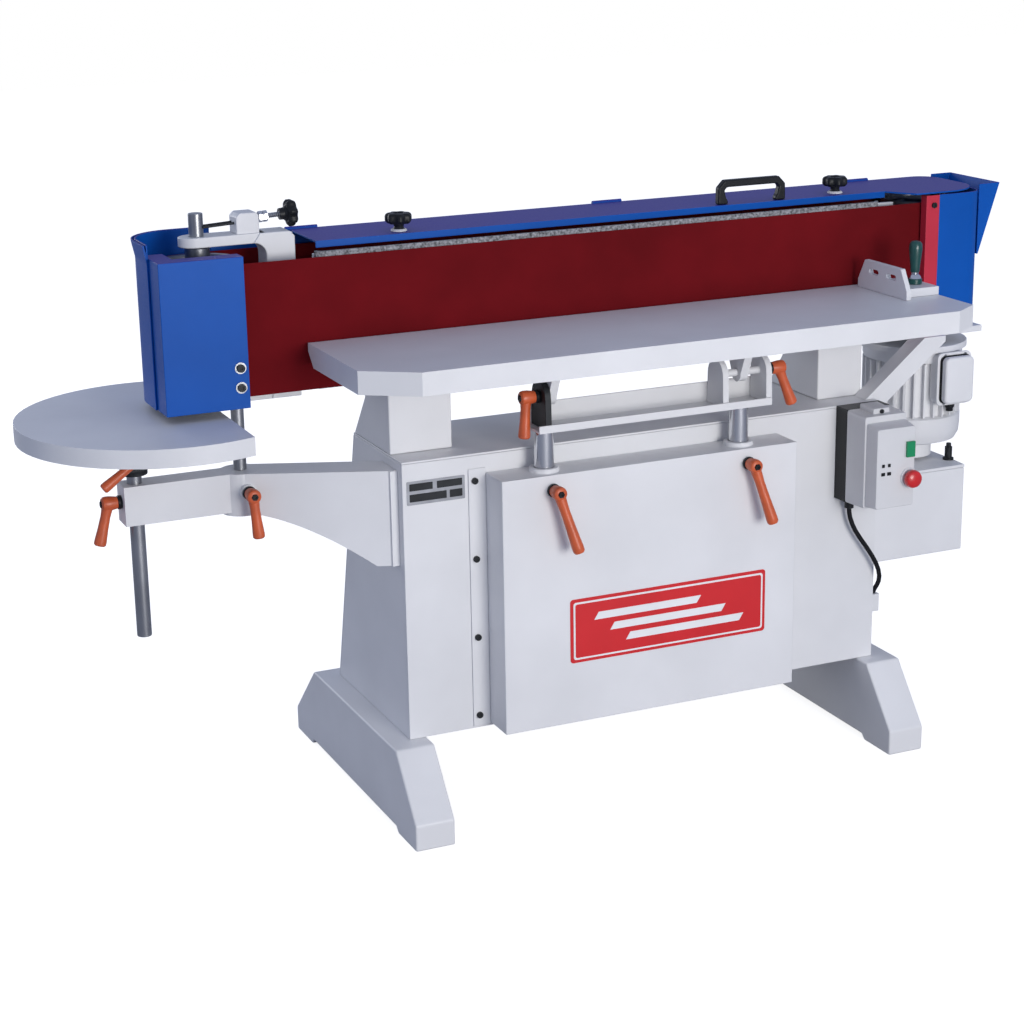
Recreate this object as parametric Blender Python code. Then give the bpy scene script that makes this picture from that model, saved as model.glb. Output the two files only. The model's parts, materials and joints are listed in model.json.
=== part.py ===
"""Long edge belt grinder on a folded steel stand.

Metres, +Z up.  The belt runs on edge along X, in front of the platen, and the operator stands at -Y.
Everything is placed in the machine's own frame: x from the cabinet's left side, y from its front, z from the
floor.  One empty shifts the whole machine so that the origin lies under the middle of its box.
"""
import math

import bmesh
import bpy
from mathutils import Matrix, Vector

# Clearances
GAP = 0.0003            # between touching pieces
RUNNING_GAP = 0.0005    # round a column, post or shaft that slides or turns
SHEET = 0.004           # stand plates
GUARD_SHEET = 0.003     # belt guards and top cover

# Stand
CABINET_WIDTH = 0.979
CABINET_TOP = 0.679
CABINET_DEPTH_TOP = 0.241
CABINET_DEPTH_BOTTOM = 0.375
FOOT_WIDTH = 0.0756
FOOT_OUTSIDE = 0.042    # how far a foot stands out past the cabinet's side
FOOT_HEIGHT = 0.161
FOOT_NOSE = 0.049
FOOT_FRONT = -0.124
FOOT_REAR = 0.525
FOOT_TOP_FRONT = -0.035
FOOT_TOP_REAR = 0.409
FOOT_PAD = 0.09
FOOT_RECESS = 0.010
LIFT_BOX_LEFT = 0.158
LIFT_BOX_RIGHT = 0.754
LIFT_BOX_DEPTH = 0.073
LIFT_BOX_BOTTOM = 0.168
LIFT_BOX_TOP = 0.642
COLLAR_RADIUS = 0.027
COLLAR_HEIGHT = 0.008
PEDESTAL_TOP = 0.7997
PEDESTAL_FRONT = 0.055
PEDESTAL_DEPTH_BOTTOM = 0.192
PEDESTAL_DEPTH_TOP = 0.120
PEDESTAL_TAPER_TOP = 0.760
LEFT_PEDESTAL = (0.0, 0.119)
RIGHT_PEDESTAL = (0.875, 0.973)

# Lift and cradle
COLUMN_RADIUS = 0.018
COLUMN_X = (0.256, 0.650)
COLUMN_Y = -0.036
COLUMN_BOTTOM = 0.330
RAIL_BOTTOM = 0.718
RAIL_HEIGHT = 0.041
RAIL_LIP = 0.014
RAIL_HALF_WIDTH = 0.035
RAIL_LEFT = 0.232
RAIL_RIGHT = 0.700
TILT_Y = -0.037
TILT_Z = 0.778
TRUNNION_LEFT = 0.246
TRUNNION_THICKNESS = 0.012
BRACKET_LEFT = 0.600
BRACKET_THICKNESS = 0.012
BRACKET_RIGHT = 0.690
LUG_THICKNESS = 0.016
LUG_RADIUS = 0.017
PIN_RADIUS = 0.007

# Main table
TABLE_LEFT = -0.135
TABLE_RIGHT = 1.048
TABLE_FRONT = -0.228
TABLE_REAR = 0.077
TABLE_TOP = 0.891
TABLE_THICKNESS = 0.040
TABLE_CORNER_X = 0.089
TABLE_CORNER_Y = 0.060
TABLE_RIGHT_CORNER = (0.055, 0.037)
TABLE_BEVEL = 0.025

# Stop fence
FENCE_X = 0.962
FENCE_THICKNESS = 0.010
FENCE_FRONT = -0.104
FENCE_REAR = 0.060
FENCE_HEIGHT = 0.055
FENCE_SLANT = 0.022
FENCE_BASE_RIGHT = 1.048
FENCE_BASE_HEIGHT = 0.016
FENCE_PIVOT = (1.022, -0.040)
FENCE_HANDLE_HEIGHT = 0.082

# Belt and drums
BELT_WIDTH = 0.229
BELT_BOTTOM = 0.807
BELT_THICKNESS = 0.0015
DRUM_RADIUS = 0.0732
IDLER_X = -0.298
DRIVE_X = 1.158
DRUM_Y = 0.158
SHAFT_RADIUS = 0.0125
OSCILLATION = 0.004

# Platen and beam
PLATEN_LEFT = -0.110
PLATEN_RIGHT = 1.025
PLATEN_TOP = 1.042
PAD_THICKNESS = 0.006
PLATEN_THICKNESS = 0.016
BEAM_LEFT = -0.108
BEAM_RIGHT = 1.068
BEAM_PLATE = 0.008
BEAM_REAR_SPACE = 0.0178    # from the beam to the belt's rear run
BEAM_FLOOR_BOTTOM = 0.800
BEAM_FLOOR_HEIGHT = 0.012
BEAM_DEPTH = 2 * DRUM_RADIUS - PAD_THICKNESS - PLATEN_THICKNESS - 2 * GAP - BEAM_REAR_SPACE

# Guards and top cover
GUARD_FRONT = 0.063
GUARD_REAR = 0.262
GUARD_BOTTOM = 0.792
GUARD_TOP = 1.052
LEFT_GUARD = (-0.393, -0.246)
GUARD_LIP = 0.034
HOOD_TOP = 1.075
HOOD_CORNER = 0.075
RIGHT_GUARD = (1.142, 1.250)
RIGHT_GUARD_CORNER = 0.040
DEFLECTOR_REACH = 0.048
DEFLECTOR_BOTTOM = 0.925
DEFLECTOR_TOP = 1.062
ENTRY_LEFT = 1.112
COVER_TOP = 1.058
COVER_LEFT = -0.099
COVER_FRONT = 0.118
COVER_STEP = (1.055, 1.090)
COVER_LIP = 0.012
KNUCKLE_X = (-0.076, 0.531, 1.079)
KNUCKLE_LENGTH = 0.060
KNUCKLE_RADIUS = 0.0045
COVER_KNOB_X = (0.065, 0.960)
COVER_KNOB_Y = 0.134
COVER_KNOB_RADIUS = 0.024
COVER_KNOB_HEIGHT = 0.032
HANDLE_X = (0.705, 0.825)
HANDLE_HEIGHT = 0.045
HANDLE_RADIUS = 0.006

# Idler end
BRACKET_UPPER = (1.060, 1.077)
BRACKET_LOWER = (0.786, 0.799)
BRACKET_LEG = (-0.183, -0.131)
BRACKET_REACH = -0.330
BRACKET_HALF_DEPTH = 0.025
IDLER_SHAFT_TOP = 1.116
TRACKING_BLOCK = (-0.233, -0.192)
TRACKING_BLOCK_HALF_DEPTH = 0.020
TRACKING_HEIGHT = 1.104
TRACKING_SLOPE = math.radians(3)
TRACKING_KNOB_X = -0.140
TRACKING_KNOB_RADIUS = 0.0235
TRACKING_KNOB_LENGTH = 0.018

# End arm, post and end table
ARM_BOSS = (-0.243, 0.158)
ARM_BOSS_RADIUS = 0.037
ARM_BOSS_BOTTOM = 0.584
ARM_TOP = 0.660
ARM_BOTTOM = 0.590
ARM_FLANGE_Y = (0.020, 0.095)
ARM_FLANGE_BOTTOM = 0.486
ARM_FLANGE_THICKNESS = 0.014
ARM_WIDTH = 0.070
ARM_END_HALF_DEPTH = 0.025
CLAMP_BOSS = 0.009      # how far the arm's clamp bolt boss stands out
STEADY_RADIUS = 0.0115
ARM_CURVE = 1.6          # how fast the arm's lower edge drops toward its flange
ARM_CURVE_STEPS = 12
END_POST_X = -0.433
END_POST_RADIUS = 0.013
END_POST_BOTTOM = 0.381
SOCKET_RADIUS = 0.024
SOCKET_BOTTOM = 0.676
SOCKET_TOP = 0.6895
END_TILT_Z = 0.716
END_TILT_RADIUS = 0.026
END_CHEEK = 0.028
END_LUG_WIDTH = 0.082
END_TABLE_CENTRE = (-0.376, 0.158)
END_TABLE_RADIUS = 0.252
END_TABLE_EDGE = -0.284
END_TABLE_TOP = 0.778
END_TABLE_THICKNESS = 0.032

# Drive end
MOTOR_RADIUS = 0.098
MOTOR_FLANGE_RADIUS = 0.106
MOTOR_BOTTOM = 0.517
MOTOR_TOP = 0.755
MOTOR_PLATE = (1.005, 1.255)
MOTOR_PLATE_BOTTOM = 0.775
MOTOR_PLATE_THICKNESS = 0.012
DRIVE_SHAFT_RADIUS = 0.014
TERMINAL_BOX = (1.138, 1.216)
TERMINAL_BOX_FRONT = 0.018
TERMINAL_BOX_DEPTH = 0.038
TERMINAL_BOX_HEIGHTS = (0.640, 0.745)
BRACE_Y = (0.014, 0.054)
BRACE_HEEL = 0.022
GEAR_BOX_RIGHT = 1.220
GEAR_BOX_FRONT = 0.051
GEAR_BOX_REAR = 0.265
GEAR_BOX_BOTTOM = 0.333
GEAR_BOX_TOP = 0.510
GEAR_BOX_WALL = 0.008
GEAR_COVER_THICKNESS = 0.006
GUIDE_RODS = ((1.212, 0.097), (1.104, 0.219))
GUIDE_ROD_RADIUS = 0.007
GUIDE_ROD_HEIGHT = 0.026
ECCENTRIC_CENTRE = (1.105, 0.158, 0.420)
ECCENTRIC_RADIUS = 0.060
ECCENTRIC_THICKNESS = 0.022
ECCENTRIC_PIN_RADIUS = 0.008
ECCENTRIC_THROW = 0.004

# Starter
STARTER_LEFT = 0.883
STARTER_WIDTH = 0.094
STARTER_BOTTOM = 0.499
STARTER_TOP = 0.680
STARTER_BACK_DEPTH = 0.038
STARTER_DEPTH = 0.133
STARTER_TAPER = 0.008
BUTTON_X = 0.962
START_Z = 0.617
START_SIZE = (0.018, 0.030)
STOP_Z = 0.562
STOP_HEAD_RADIUS = 0.017
BUTTON_TRAVEL = 0.004
GLAND_RADIUS = 0.009
GLAND_LENGTH = 0.018
CORD_RADIUS = 0.0045
CORD_INLET = Vector((CABINET_WIDTH + GLAND_RADIUS, 0.015, 0.286))
CORD_ROUTE = (
    (0.905, -0.020, 0.4807), (0.9055, -0.020, 0.472), (0.908, -0.020, 0.460), (0.913, -0.0205, 0.447),
    (0.920, -0.021, 0.433), (0.929, -0.022, 0.419), (0.939, -0.023, 0.405), (0.949, -0.0235, 0.391),
    (0.959, -0.0235, 0.376), (0.968, -0.023, 0.361), (0.976, -0.020, 0.346), (0.982, -0.015, 0.331),
    (0.986, -0.0075, 0.3175), (0.9875, 0.001, 0.306), (0.988, 0.009, 0.2965), (0.988, 0.014, 0.288),
)

# Levers
LEVER_HUB_RADIUS = 0.0125
LEVER_STAND_OFF = 0.034
LEVER_ROOT_RADIUS = 0.0075
LEVER_TIP_RADIUS = 0.010

FLAT_STEPS = 24
ROUND_STEPS = 40

MACHINE_LEFT = END_TABLE_CENTRE[0] - END_TABLE_RADIUS
MACHINE_RIGHT = RIGHT_GUARD[1] + DEFLECTOR_REACH
MACHINE_MIDDLE = ((MACHINE_LEFT + MACHINE_RIGHT) / 2, (TABLE_FRONT + FOOT_REAR) / 2, 0.0)

FINISHES = {
    "stand_enamel": ((0.62, 0.64, 0.68), 0.45, 0.0),
    "guard_blue": ((0.0, 0.08, 0.42), 0.4, 0.0),
    "entry_red": ((0.45, 0.03, 0.06), 0.45, 0.0),
    "belt_cloth": ((0.14, 0.008, 0.012), 0.9, 0.0),
    "graphite_pad": ((0.12, 0.12, 0.13), 0.8, 0.0),
    "lever_orange": ((0.55, 0.12, 0.03), 0.4, 0.0),
    "black_plastic": ((0.01, 0.01, 0.012), 0.45, 0.0),
    "handle_teal": ((0.0, 0.05, 0.05), 0.35, 0.0),
    "chrome": ((0.62, 0.63, 0.65), 0.15, 1.0),
    "grey_steel": ((0.30, 0.31, 0.33), 0.4, 0.9),
    "black_steel": ((0.02, 0.02, 0.022), 0.5, 0.5),
    "start_green": ((0.0, 0.22, 0.07), 0.4, 0.0),
    "stop_red": ((0.55, 0.01, 0.01), 0.4, 0.0),
    "cord_black": ((0.008, 0.008, 0.009), 0.6, 0.0),
}

PLACES = {}


def finish(name):
    """The named finish, made the first time that it is asked for."""
    if name in bpy.data.materials:
        return bpy.data.materials[name]
    colour, roughness, metallic = FINISHES[name]
    material = bpy.data.materials.new(name)
    material.use_nodes = True
    shader = material.node_tree.nodes["Principled BSDF"]
    shader.inputs["Base Color"].default_value = (*colour, 1.0)
    shader.inputs["Roughness"].default_value = roughness
    shader.inputs["Metallic"].default_value = metallic
    material.diffuse_color = (*colour, 1.0)
    return material


def pivot(name, place, parent=None):
    """An empty on a joint's axis.  What turns or slides on the joint is its child."""
    empty = bpy.data.objects.new(name, None)
    bpy.context.scene.collection.objects.link(empty)
    PLACES[name] = Vector(place)
    if parent is None:
        empty.location = -Vector(MACHINE_MIDDLE)
    else:
        empty.parent = parent
        empty.location = PLACES[name] - PLACES[parent.name]
    return empty


def piece(name, shape, colour, body, smooth=False):
    """One object from a bmesh in the machine's frame, placed on its body's empty."""
    mesh = bpy.data.meshes.new(name)
    bmesh.ops.recalc_face_normals(shape, faces=shape.faces)
    bmesh.ops.translate(shape, verts=shape.verts, vec=-PLACES[body.name])
    shape.to_mesh(mesh)
    shape.free()
    mesh.materials.append(finish(colour))
    if smooth:
        mesh.shade_smooth()
        mesh.set_sharp_from_angle(angle=math.radians(35))
    obj = bpy.data.objects.new(name, mesh)
    bpy.context.scene.collection.objects.link(obj)
    obj.parent = body
    return obj


def combine(target, shape, operation):
    """Cut a shape from an object, or join it to the object, with a live Boolean."""
    tool = piece(target.name + "_tool", shape, target.data.materials[0].name, target.parent)
    tool.hide_render = True
    tool.display_type = "WIRE"
    modifier = target.modifiers.new(operation.lower(), "BOOLEAN")
    modifier.operation = operation
    modifier.solver = "EXACT"
    modifier.object = tool


def cut(target, shape):
    combine(target, shape, "DIFFERENCE")


def join(target, shape):
    combine(target, shape, "UNION")


def prism(outline, low, high, axis):
    """A flat outline extruded along an axis; it is given in the two other axes, in their order."""
    shape = bmesh.new()
    order = {"x": (2, 0, 1), "y": (0, 2, 1), "z": (0, 1, 2)}[axis]
    corners = [shape.verts.new([(a, b, low)[i] for i in order]) for a, b in outline]
    face = shape.faces.new(corners)
    grown = bmesh.ops.extrude_face_region(shape, geom=[face])
    moved = [item for item in grown["geom"] if isinstance(item, bmesh.types.BMVert)]
    step = Vector([(0.0, 0.0, high - low)[i] for i in order])
    bmesh.ops.translate(shape, verts=moved, vec=step)
    return shape


def block(x, y, z):
    """A box between two values on each axis."""
    return prism([(x[0], y[0]), (x[1], y[0]), (x[1], y[1]), (x[0], y[1])], z[0], z[1], "z")


def turned(profile, place, direction=(0, 0, 1), steps=FLAT_STEPS, ring=False):
    """A profile of (radius, height) spun round an axis; ring closes it away from the axis."""
    shape = bmesh.new()
    verts = [shape.verts.new((radius, 0.0, height)) for radius, height in profile]
    pairs = list(zip(verts, verts[1:]))
    if ring:
        pairs.append((verts[-1], verts[0]))
    edges = [shape.edges.new(pair) for pair in pairs]
    bmesh.ops.spin(shape, geom=verts + edges, axis=(0, 0, 1), cent=(0, 0, 0),
                   steps=steps, angle=2 * math.pi, use_merge=True)
    bmesh.ops.remove_doubles(shape, verts=shape.verts, dist=0.00001)
    turn = Vector((0, 0, 1)).rotation_difference(Vector(direction)).to_matrix().to_4x4()
    shape.transform(Matrix.Translation(place) @ turn)
    return shape


def rod(radius, place, low, high, direction=(0, 0, 1), steps=FLAT_STEPS):
    """A plain cylinder; low and high are measured along its direction from its place."""
    return turned([(0.0, low), (radius, low), (radius, high), (0.0, high)], place, direction, steps)


def band(outer, inner, low, high):
    """An upright endless band between two outlines of (x, y) with the same number of points."""
    shape = bmesh.new()
    loops = [[shape.verts.new((x, y, z)) for x, y in outline]
             for outline, z in ((outer, low), (outer, high), (inner, high), (inner, low))]
    count = len(outer)
    for first, second in zip(loops, loops[1:] + loops[:1]):
        for i in range(count):
            k = (i + 1) % count
            shape.faces.new((first[i], first[k], second[k], second[i]))
    return shape


def hull(points):
    """The convex solid round some points."""
    shape = bmesh.new()
    verts = [shape.verts.new(point) for point in points]
    bmesh.ops.convex_hull(shape, input=verts)
    return shape


def arc(centre, radius, start, end, steps):
    """Points on an arc, from one angle in degrees to another."""
    angles = [math.radians(start + (end - start) * i / steps) for i in range(steps + 1)]
    return [(centre[0] + radius * math.cos(a), centre[1] + radius * math.sin(a)) for a in angles]


def folded(outside, thickness):
    """The outline of a folded sheet: a path of its outer face, and the same path one thickness to its left."""
    path = [Vector(point) for point in outside]
    sides = [(b - a).normalized() for a, b in zip(path, path[1:])]
    left = [Vector((-side.y, side.x)) for side in sides]
    inside = [path[0] + left[0] * thickness]
    for before, after, corner in zip(left, left[1:], path[1:]):
        mitre = before + after
        inside.append(corner + mitre * (2 * thickness / mitre.length_squared))
    inside.append(path[-1] + left[-1] * thickness)
    return [tuple(point) for point in path] + [tuple(point) for point in reversed(inside)]


def star(radius, lobes=6, dip=0.12, steps=36):
    """The outline of a lobed hand knob round (0, 0)."""
    points = []
    for i in range(steps):
        angle = 2 * math.pi * i / steps
        reach = radius * (1 - dip / 2 + dip / 2 * math.cos(lobes * angle))
        points.append((reach * math.cos(angle), reach * math.sin(angle)))
    return points


def knob(radius, height, place, direction=(0, 0, 1)):
    """A lobed hand knob standing on its place."""
    shape = prism(star(radius), 0.0, height, "z")
    turn = Vector((0, 0, 1)).rotation_difference(Vector(direction)).to_matrix().to_4x4()
    shape.transform(Matrix.Translation(place) @ turn)
    return shape


def lever(name, hub, direction, tip, body):
    """A clamp lever: a hub on its bolt, and an arm from the hub's outer end down to its tip."""
    outward = Vector(direction)
    spindle = pivot(name + "_axis", hub, body)
    handle = piece(name, turned([(0.0, GAP), (LEVER_HUB_RADIUS, GAP),
                                 (LEVER_HUB_RADIUS * 0.8, LEVER_STAND_OFF), (0.0, LEVER_STAND_OFF)],
                                hub, direction, 16), "lever_orange", spindle, smooth=True)
    root = Vector(hub) + outward * (LEVER_STAND_OFF - LEVER_TIP_RADIUS)
    arm = Vector(tip) - root
    length = arm.length
    arm.normalize()
    profile = [(0.0, 0.0), (LEVER_ROOT_RADIUS, 0.0), (LEVER_TIP_RADIUS, length - LEVER_TIP_RADIUS),
               (LEVER_TIP_RADIUS * 0.75, length - 0.002), (0.0, length)]
    join(handle, turned(profile, root, arm, 12))
    return handle


def stand(root):
    """Feet, folded cabinet, the front box that guides the columns, and the pedestals."""
    lowest = FOOT_HEIGHT + GAP
    inside = (SHEET + GAP, CABINET_WIDTH - SHEET - GAP)
    slope = (CABINET_DEPTH_BOTTOM - CABINET_DEPTH_TOP) / (CABINET_TOP - FOOT_HEIGHT)

    def rear(height):
        return CABINET_DEPTH_BOTTOM - slope * (height - FOOT_HEIGHT)

    profile = [(FOOT_FRONT, 0.0), (FOOT_FRONT + FOOT_PAD, 0.0),
               (FOOT_FRONT + FOOT_PAD + FOOT_RECESS, FOOT_RECESS),
               (FOOT_REAR - FOOT_PAD - FOOT_RECESS, FOOT_RECESS), (FOOT_REAR - FOOT_PAD, 0.0),
               (FOOT_REAR, 0.0), (FOOT_REAR, FOOT_NOSE), (FOOT_TOP_REAR, FOOT_HEIGHT),
               (FOOT_TOP_FRONT, FOOT_HEIGHT), (FOOT_FRONT, FOOT_NOSE)]
    right_foot = CABINET_WIDTH + FOOT_OUTSIDE - FOOT_WIDTH
    piece("left_foot", prism(profile, -FOOT_OUTSIDE, FOOT_WIDTH - FOOT_OUTSIDE, "x"), "stand_enamel", root)
    piece("right_foot", prism(profile, right_foot, right_foot + FOOT_WIDTH, "x"), "stand_enamel", root)

    top = CABINET_TOP - SHEET - GAP
    side = [(SHEET + GAP, lowest), (rear(lowest) - SHEET - 2 * GAP, lowest),
            (rear(top) - SHEET - 2 * GAP, top), (SHEET + GAP, top)]
    back = [(rear(lowest) - SHEET, lowest), (rear(lowest), lowest), (rear(top), top), (rear(top) - SHEET, top)]
    piece("cabinet_front", block((0.0, CABINET_WIDTH), (0.0, SHEET), (lowest, top)), "stand_enamel", root)
    piece("cabinet_left_side", prism(side, 0.0, SHEET, "x"), "stand_enamel", root)
    right_side = piece("cabinet_right_side", prism(side, CABINET_WIDTH - SHEET, CABINET_WIDTH, "x"),
                       "stand_enamel", root)
    join(right_side, block((CABINET_WIDTH - SHEET / 2, CORD_INLET.x + GLAND_RADIUS),
                           (CORD_INLET.y - GLAND_RADIUS, CORD_INLET.y + GLAND_RADIUS),
                           (CORD_INLET.z - 4 * GLAND_RADIUS, CORD_INLET.z - GAP)))
    piece("cabinet_rear_panel", prism(back, 0.0, CABINET_WIDTH, "x"), "stand_enamel", root)
    piece("cabinet_top_plate", block((0.0, CABINET_WIDTH), (0.0, rear(CABINET_TOP)),
                                     (CABINET_TOP - SHEET, CABINET_TOP)), "stand_enamel", root)

    depth = (-LIFT_BOX_DEPTH, -GAP)
    lift_box = piece("lift_box", block((LIFT_BOX_LEFT, LIFT_BOX_RIGHT), depth, (LIFT_BOX_BOTTOM, LIFT_BOX_TOP)),
                     "stand_enamel", root)
    cut(lift_box, block((LIFT_BOX_LEFT + SHEET, LIFT_BOX_RIGHT - SHEET), (depth[0] + SHEET, SHEET),
                        (LIFT_BOX_BOTTOM + SHEET, LIFT_BOX_TOP - SHEET)))
    for x in COLUMN_X:
        place = (x, COLUMN_Y, LIFT_BOX_TOP)
        join(lift_box, rod(COLLAR_RADIUS, place, -SHEET / 2, COLLAR_HEIGHT))
        cut(lift_box, rod(COLUMN_RADIUS + RUNNING_GAP, place, -2 * SHEET, 2 * COLLAR_HEIGHT))

    for name, width in (("left_pedestal", LEFT_PEDESTAL), ("right_pedestal", RIGHT_PEDESTAL)):
        seat = CABINET_TOP + GAP
        outline = [(PEDESTAL_FRONT, seat), (PEDESTAL_FRONT + PEDESTAL_DEPTH_BOTTOM - 0.01, seat),
                   (PEDESTAL_FRONT + PEDESTAL_DEPTH_TOP, PEDESTAL_TAPER_TOP),
                   (PEDESTAL_FRONT + PEDESTAL_DEPTH_TOP, PEDESTAL_TOP), (PEDESTAL_FRONT, PEDESTAL_TOP)]
        piece(name, prism(outline, *width, "x"), "stand_enamel", root)


def lift(root):
    """The two columns, the rail across them, and the trunnions that the table tilts on."""
    body = pivot("table_lift_axis", (LIFT_BOX_LEFT, COLUMN_Y, RAIL_BOTTOM), root)
    rail_top = RAIL_BOTTOM + RAIL_HEIGHT
    for name, x in zip(("left_column", "right_column"), COLUMN_X):
        piece(name, rod(COLUMN_RADIUS, (x, COLUMN_Y, 0.0), COLUMN_BOTTOM, RAIL_BOTTOM - GAP),
              "chrome", body, smooth=True)
    near, far = TILT_Y - RAIL_HALF_WIDTH, TILT_Y + RAIL_HALF_WIDTH
    channel = folded([(near, RAIL_BOTTOM + RAIL_LIP), (near, RAIL_BOTTOM), (far, RAIL_BOTTOM), (far, rail_top)], SHEET)
    piece("cradle_rail", prism(channel, RAIL_LEFT, RAIL_RIGHT, "x"), "stand_enamel", body)

    seat = RAIL_BOTTOM + SHEET + GAP
    near, far = near + SHEET + GAP, far - SHEET - GAP
    centre = (TILT_Y, TILT_Z)
    cheek = [(near, seat), (far, seat)] + arc(centre, 1.7 * LUG_RADIUS, 0, 180, 12)
    left = piece("left_trunnion", prism(cheek, TRUNNION_LEFT, TRUNNION_LEFT + TRUNNION_THICKNESS, "x"),
                 "black_steel", body)
    pin_end = TRUNNION_THICKNESS + GAP + LUG_THICKNESS
    join(left, rod(PIN_RADIUS, (TRUNNION_LEFT, TILT_Y, TILT_Z), SHEET, pin_end + SHEET, (1, 0, 0)))

    cheek = [(near, seat), (far, seat)] + arc(centre, 1.7 * LUG_RADIUS, 0, 180, 12)
    right = piece("right_bracket", prism(cheek, BRACKET_LEFT, BRACKET_LEFT + BRACKET_THICKNESS, "x"),
                  "stand_enamel", body)
    join(right, prism(cheek, BRACKET_RIGHT, BRACKET_RIGHT + BRACKET_THICKNESS, "x"))
    pin_length = BRACKET_RIGHT + BRACKET_THICKNESS - BRACKET_LEFT
    join(right, rod(PIN_RADIUS, (BRACKET_LEFT, TILT_Y, TILT_Z), SHEET, pin_length + PIN_RADIUS, (1, 0, 0)))
    return body


def table(lift_body):
    """The main table with its two tilting lugs, and the stop fence that swivels on it."""
    body = pivot("table_tilt_axis", (TRUNNION_LEFT, TILT_Y, TILT_Z), lift_body)
    under = TABLE_TOP - TABLE_THICKNESS
    outline = [(TABLE_LEFT, TABLE_REAR), (TABLE_LEFT, TABLE_FRONT + TABLE_CORNER_Y),
               (TABLE_LEFT + TABLE_CORNER_X, TABLE_FRONT), (TABLE_RIGHT - TABLE_RIGHT_CORNER[0], TABLE_FRONT),
               (TABLE_RIGHT, TABLE_FRONT + TABLE_RIGHT_CORNER[1]), (TABLE_RIGHT, TABLE_REAR)]
    top = piece("main_table", prism(outline, under, TABLE_TOP, "z"), "stand_enamel", body)
    over = TABLE_BEVEL / 2
    wedge = [(TABLE_REAR - TABLE_BEVEL - over, under - over), (TABLE_REAR + over, under - over),
             (TABLE_REAR + over, under + TABLE_BEVEL + over)]
    cut(top, prism(wedge, TABLE_LEFT - over, TABLE_RIGHT + over, "x"))

    lug = [(TILT_Y + 3 * LUG_RADIUS, under + SHEET), (TILT_Y - 3 * LUG_RADIUS, under + SHEET)]
    lug += arc((TILT_Y, TILT_Z), LUG_RADIUS, 180, 360, 12)
    left = TRUNNION_LEFT + TRUNNION_THICKNESS + GAP
    right = (BRACKET_LEFT + BRACKET_RIGHT + BRACKET_THICKNESS - LUG_THICKNESS) / 2
    for x in (left, right):
        join(top, prism(lug, x, x + LUG_THICKNESS, "x"))
        cut(top, rod(PIN_RADIUS + RUNNING_GAP, (x, TILT_Y, TILT_Z), -SHEET, LUG_THICKNESS + SHEET, (1, 0, 0)))

    swivel = pivot("fence_swivel_axis", (*FENCE_PIVOT, TABLE_TOP), body)
    foot_top = TABLE_TOP + GAP + FENCE_BASE_HEIGHT
    fence_top = TABLE_TOP + GAP + FENCE_HEIGHT
    side = [(FENCE_FRONT, TABLE_TOP + GAP), (FENCE_REAR, TABLE_TOP + GAP), (FENCE_REAR, foot_top),
            (FENCE_REAR - FENCE_SLANT, fence_top), (FENCE_FRONT + FENCE_SLANT, fence_top), (FENCE_FRONT, foot_top)]
    fence = piece("stop_fence", prism(side, FENCE_X, FENCE_X + FENCE_THICKNESS, "x"), "stand_enamel", swivel)
    join(fence, block((FENCE_X + FENCE_THICKNESS / 2, FENCE_BASE_RIGHT),
                      (FENCE_FRONT + FENCE_SLANT, FENCE_REAR - 1.5 * FENCE_SLANT), (TABLE_TOP + GAP, foot_top)))
    middle = (foot_top + fence_top) / 2
    for y in (FENCE_FRONT + 2.4 * FENCE_SLANT, FENCE_REAR - 2.4 * FENCE_SLANT):
        slot = arc((y - FENCE_SLANT / 2, middle), FENCE_THICKNESS / 2, 90, 270, 4)
        slot += arc((y + FENCE_SLANT / 2, middle), FENCE_THICKNESS / 2, -90, 90, 4)
        cut(fence, prism(slot, FENCE_X - FENCE_THICKNESS, FENCE_X + 2 * FENCE_THICKNESS, "x"))
    grip = [(0.0, GAP), (0.014, GAP), (0.014, 0.010), (0.0055, 0.014), (0.0055, 0.022), (0.0085, 0.028),
            (0.0105, 0.045), (0.0095, 0.070), (0.0085, FENCE_HANDLE_HEIGHT - 0.006), (0.0, FENCE_HANDLE_HEIGHT)]
    handle_axis = pivot("fence_handle_axis", (*FENCE_PIVOT, foot_top), swivel)
    piece("fence_handle", turned(grip, (*FENCE_PIVOT, foot_top), steps=16), "handle_teal", handle_axis, smooth=True)
    return body


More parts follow.
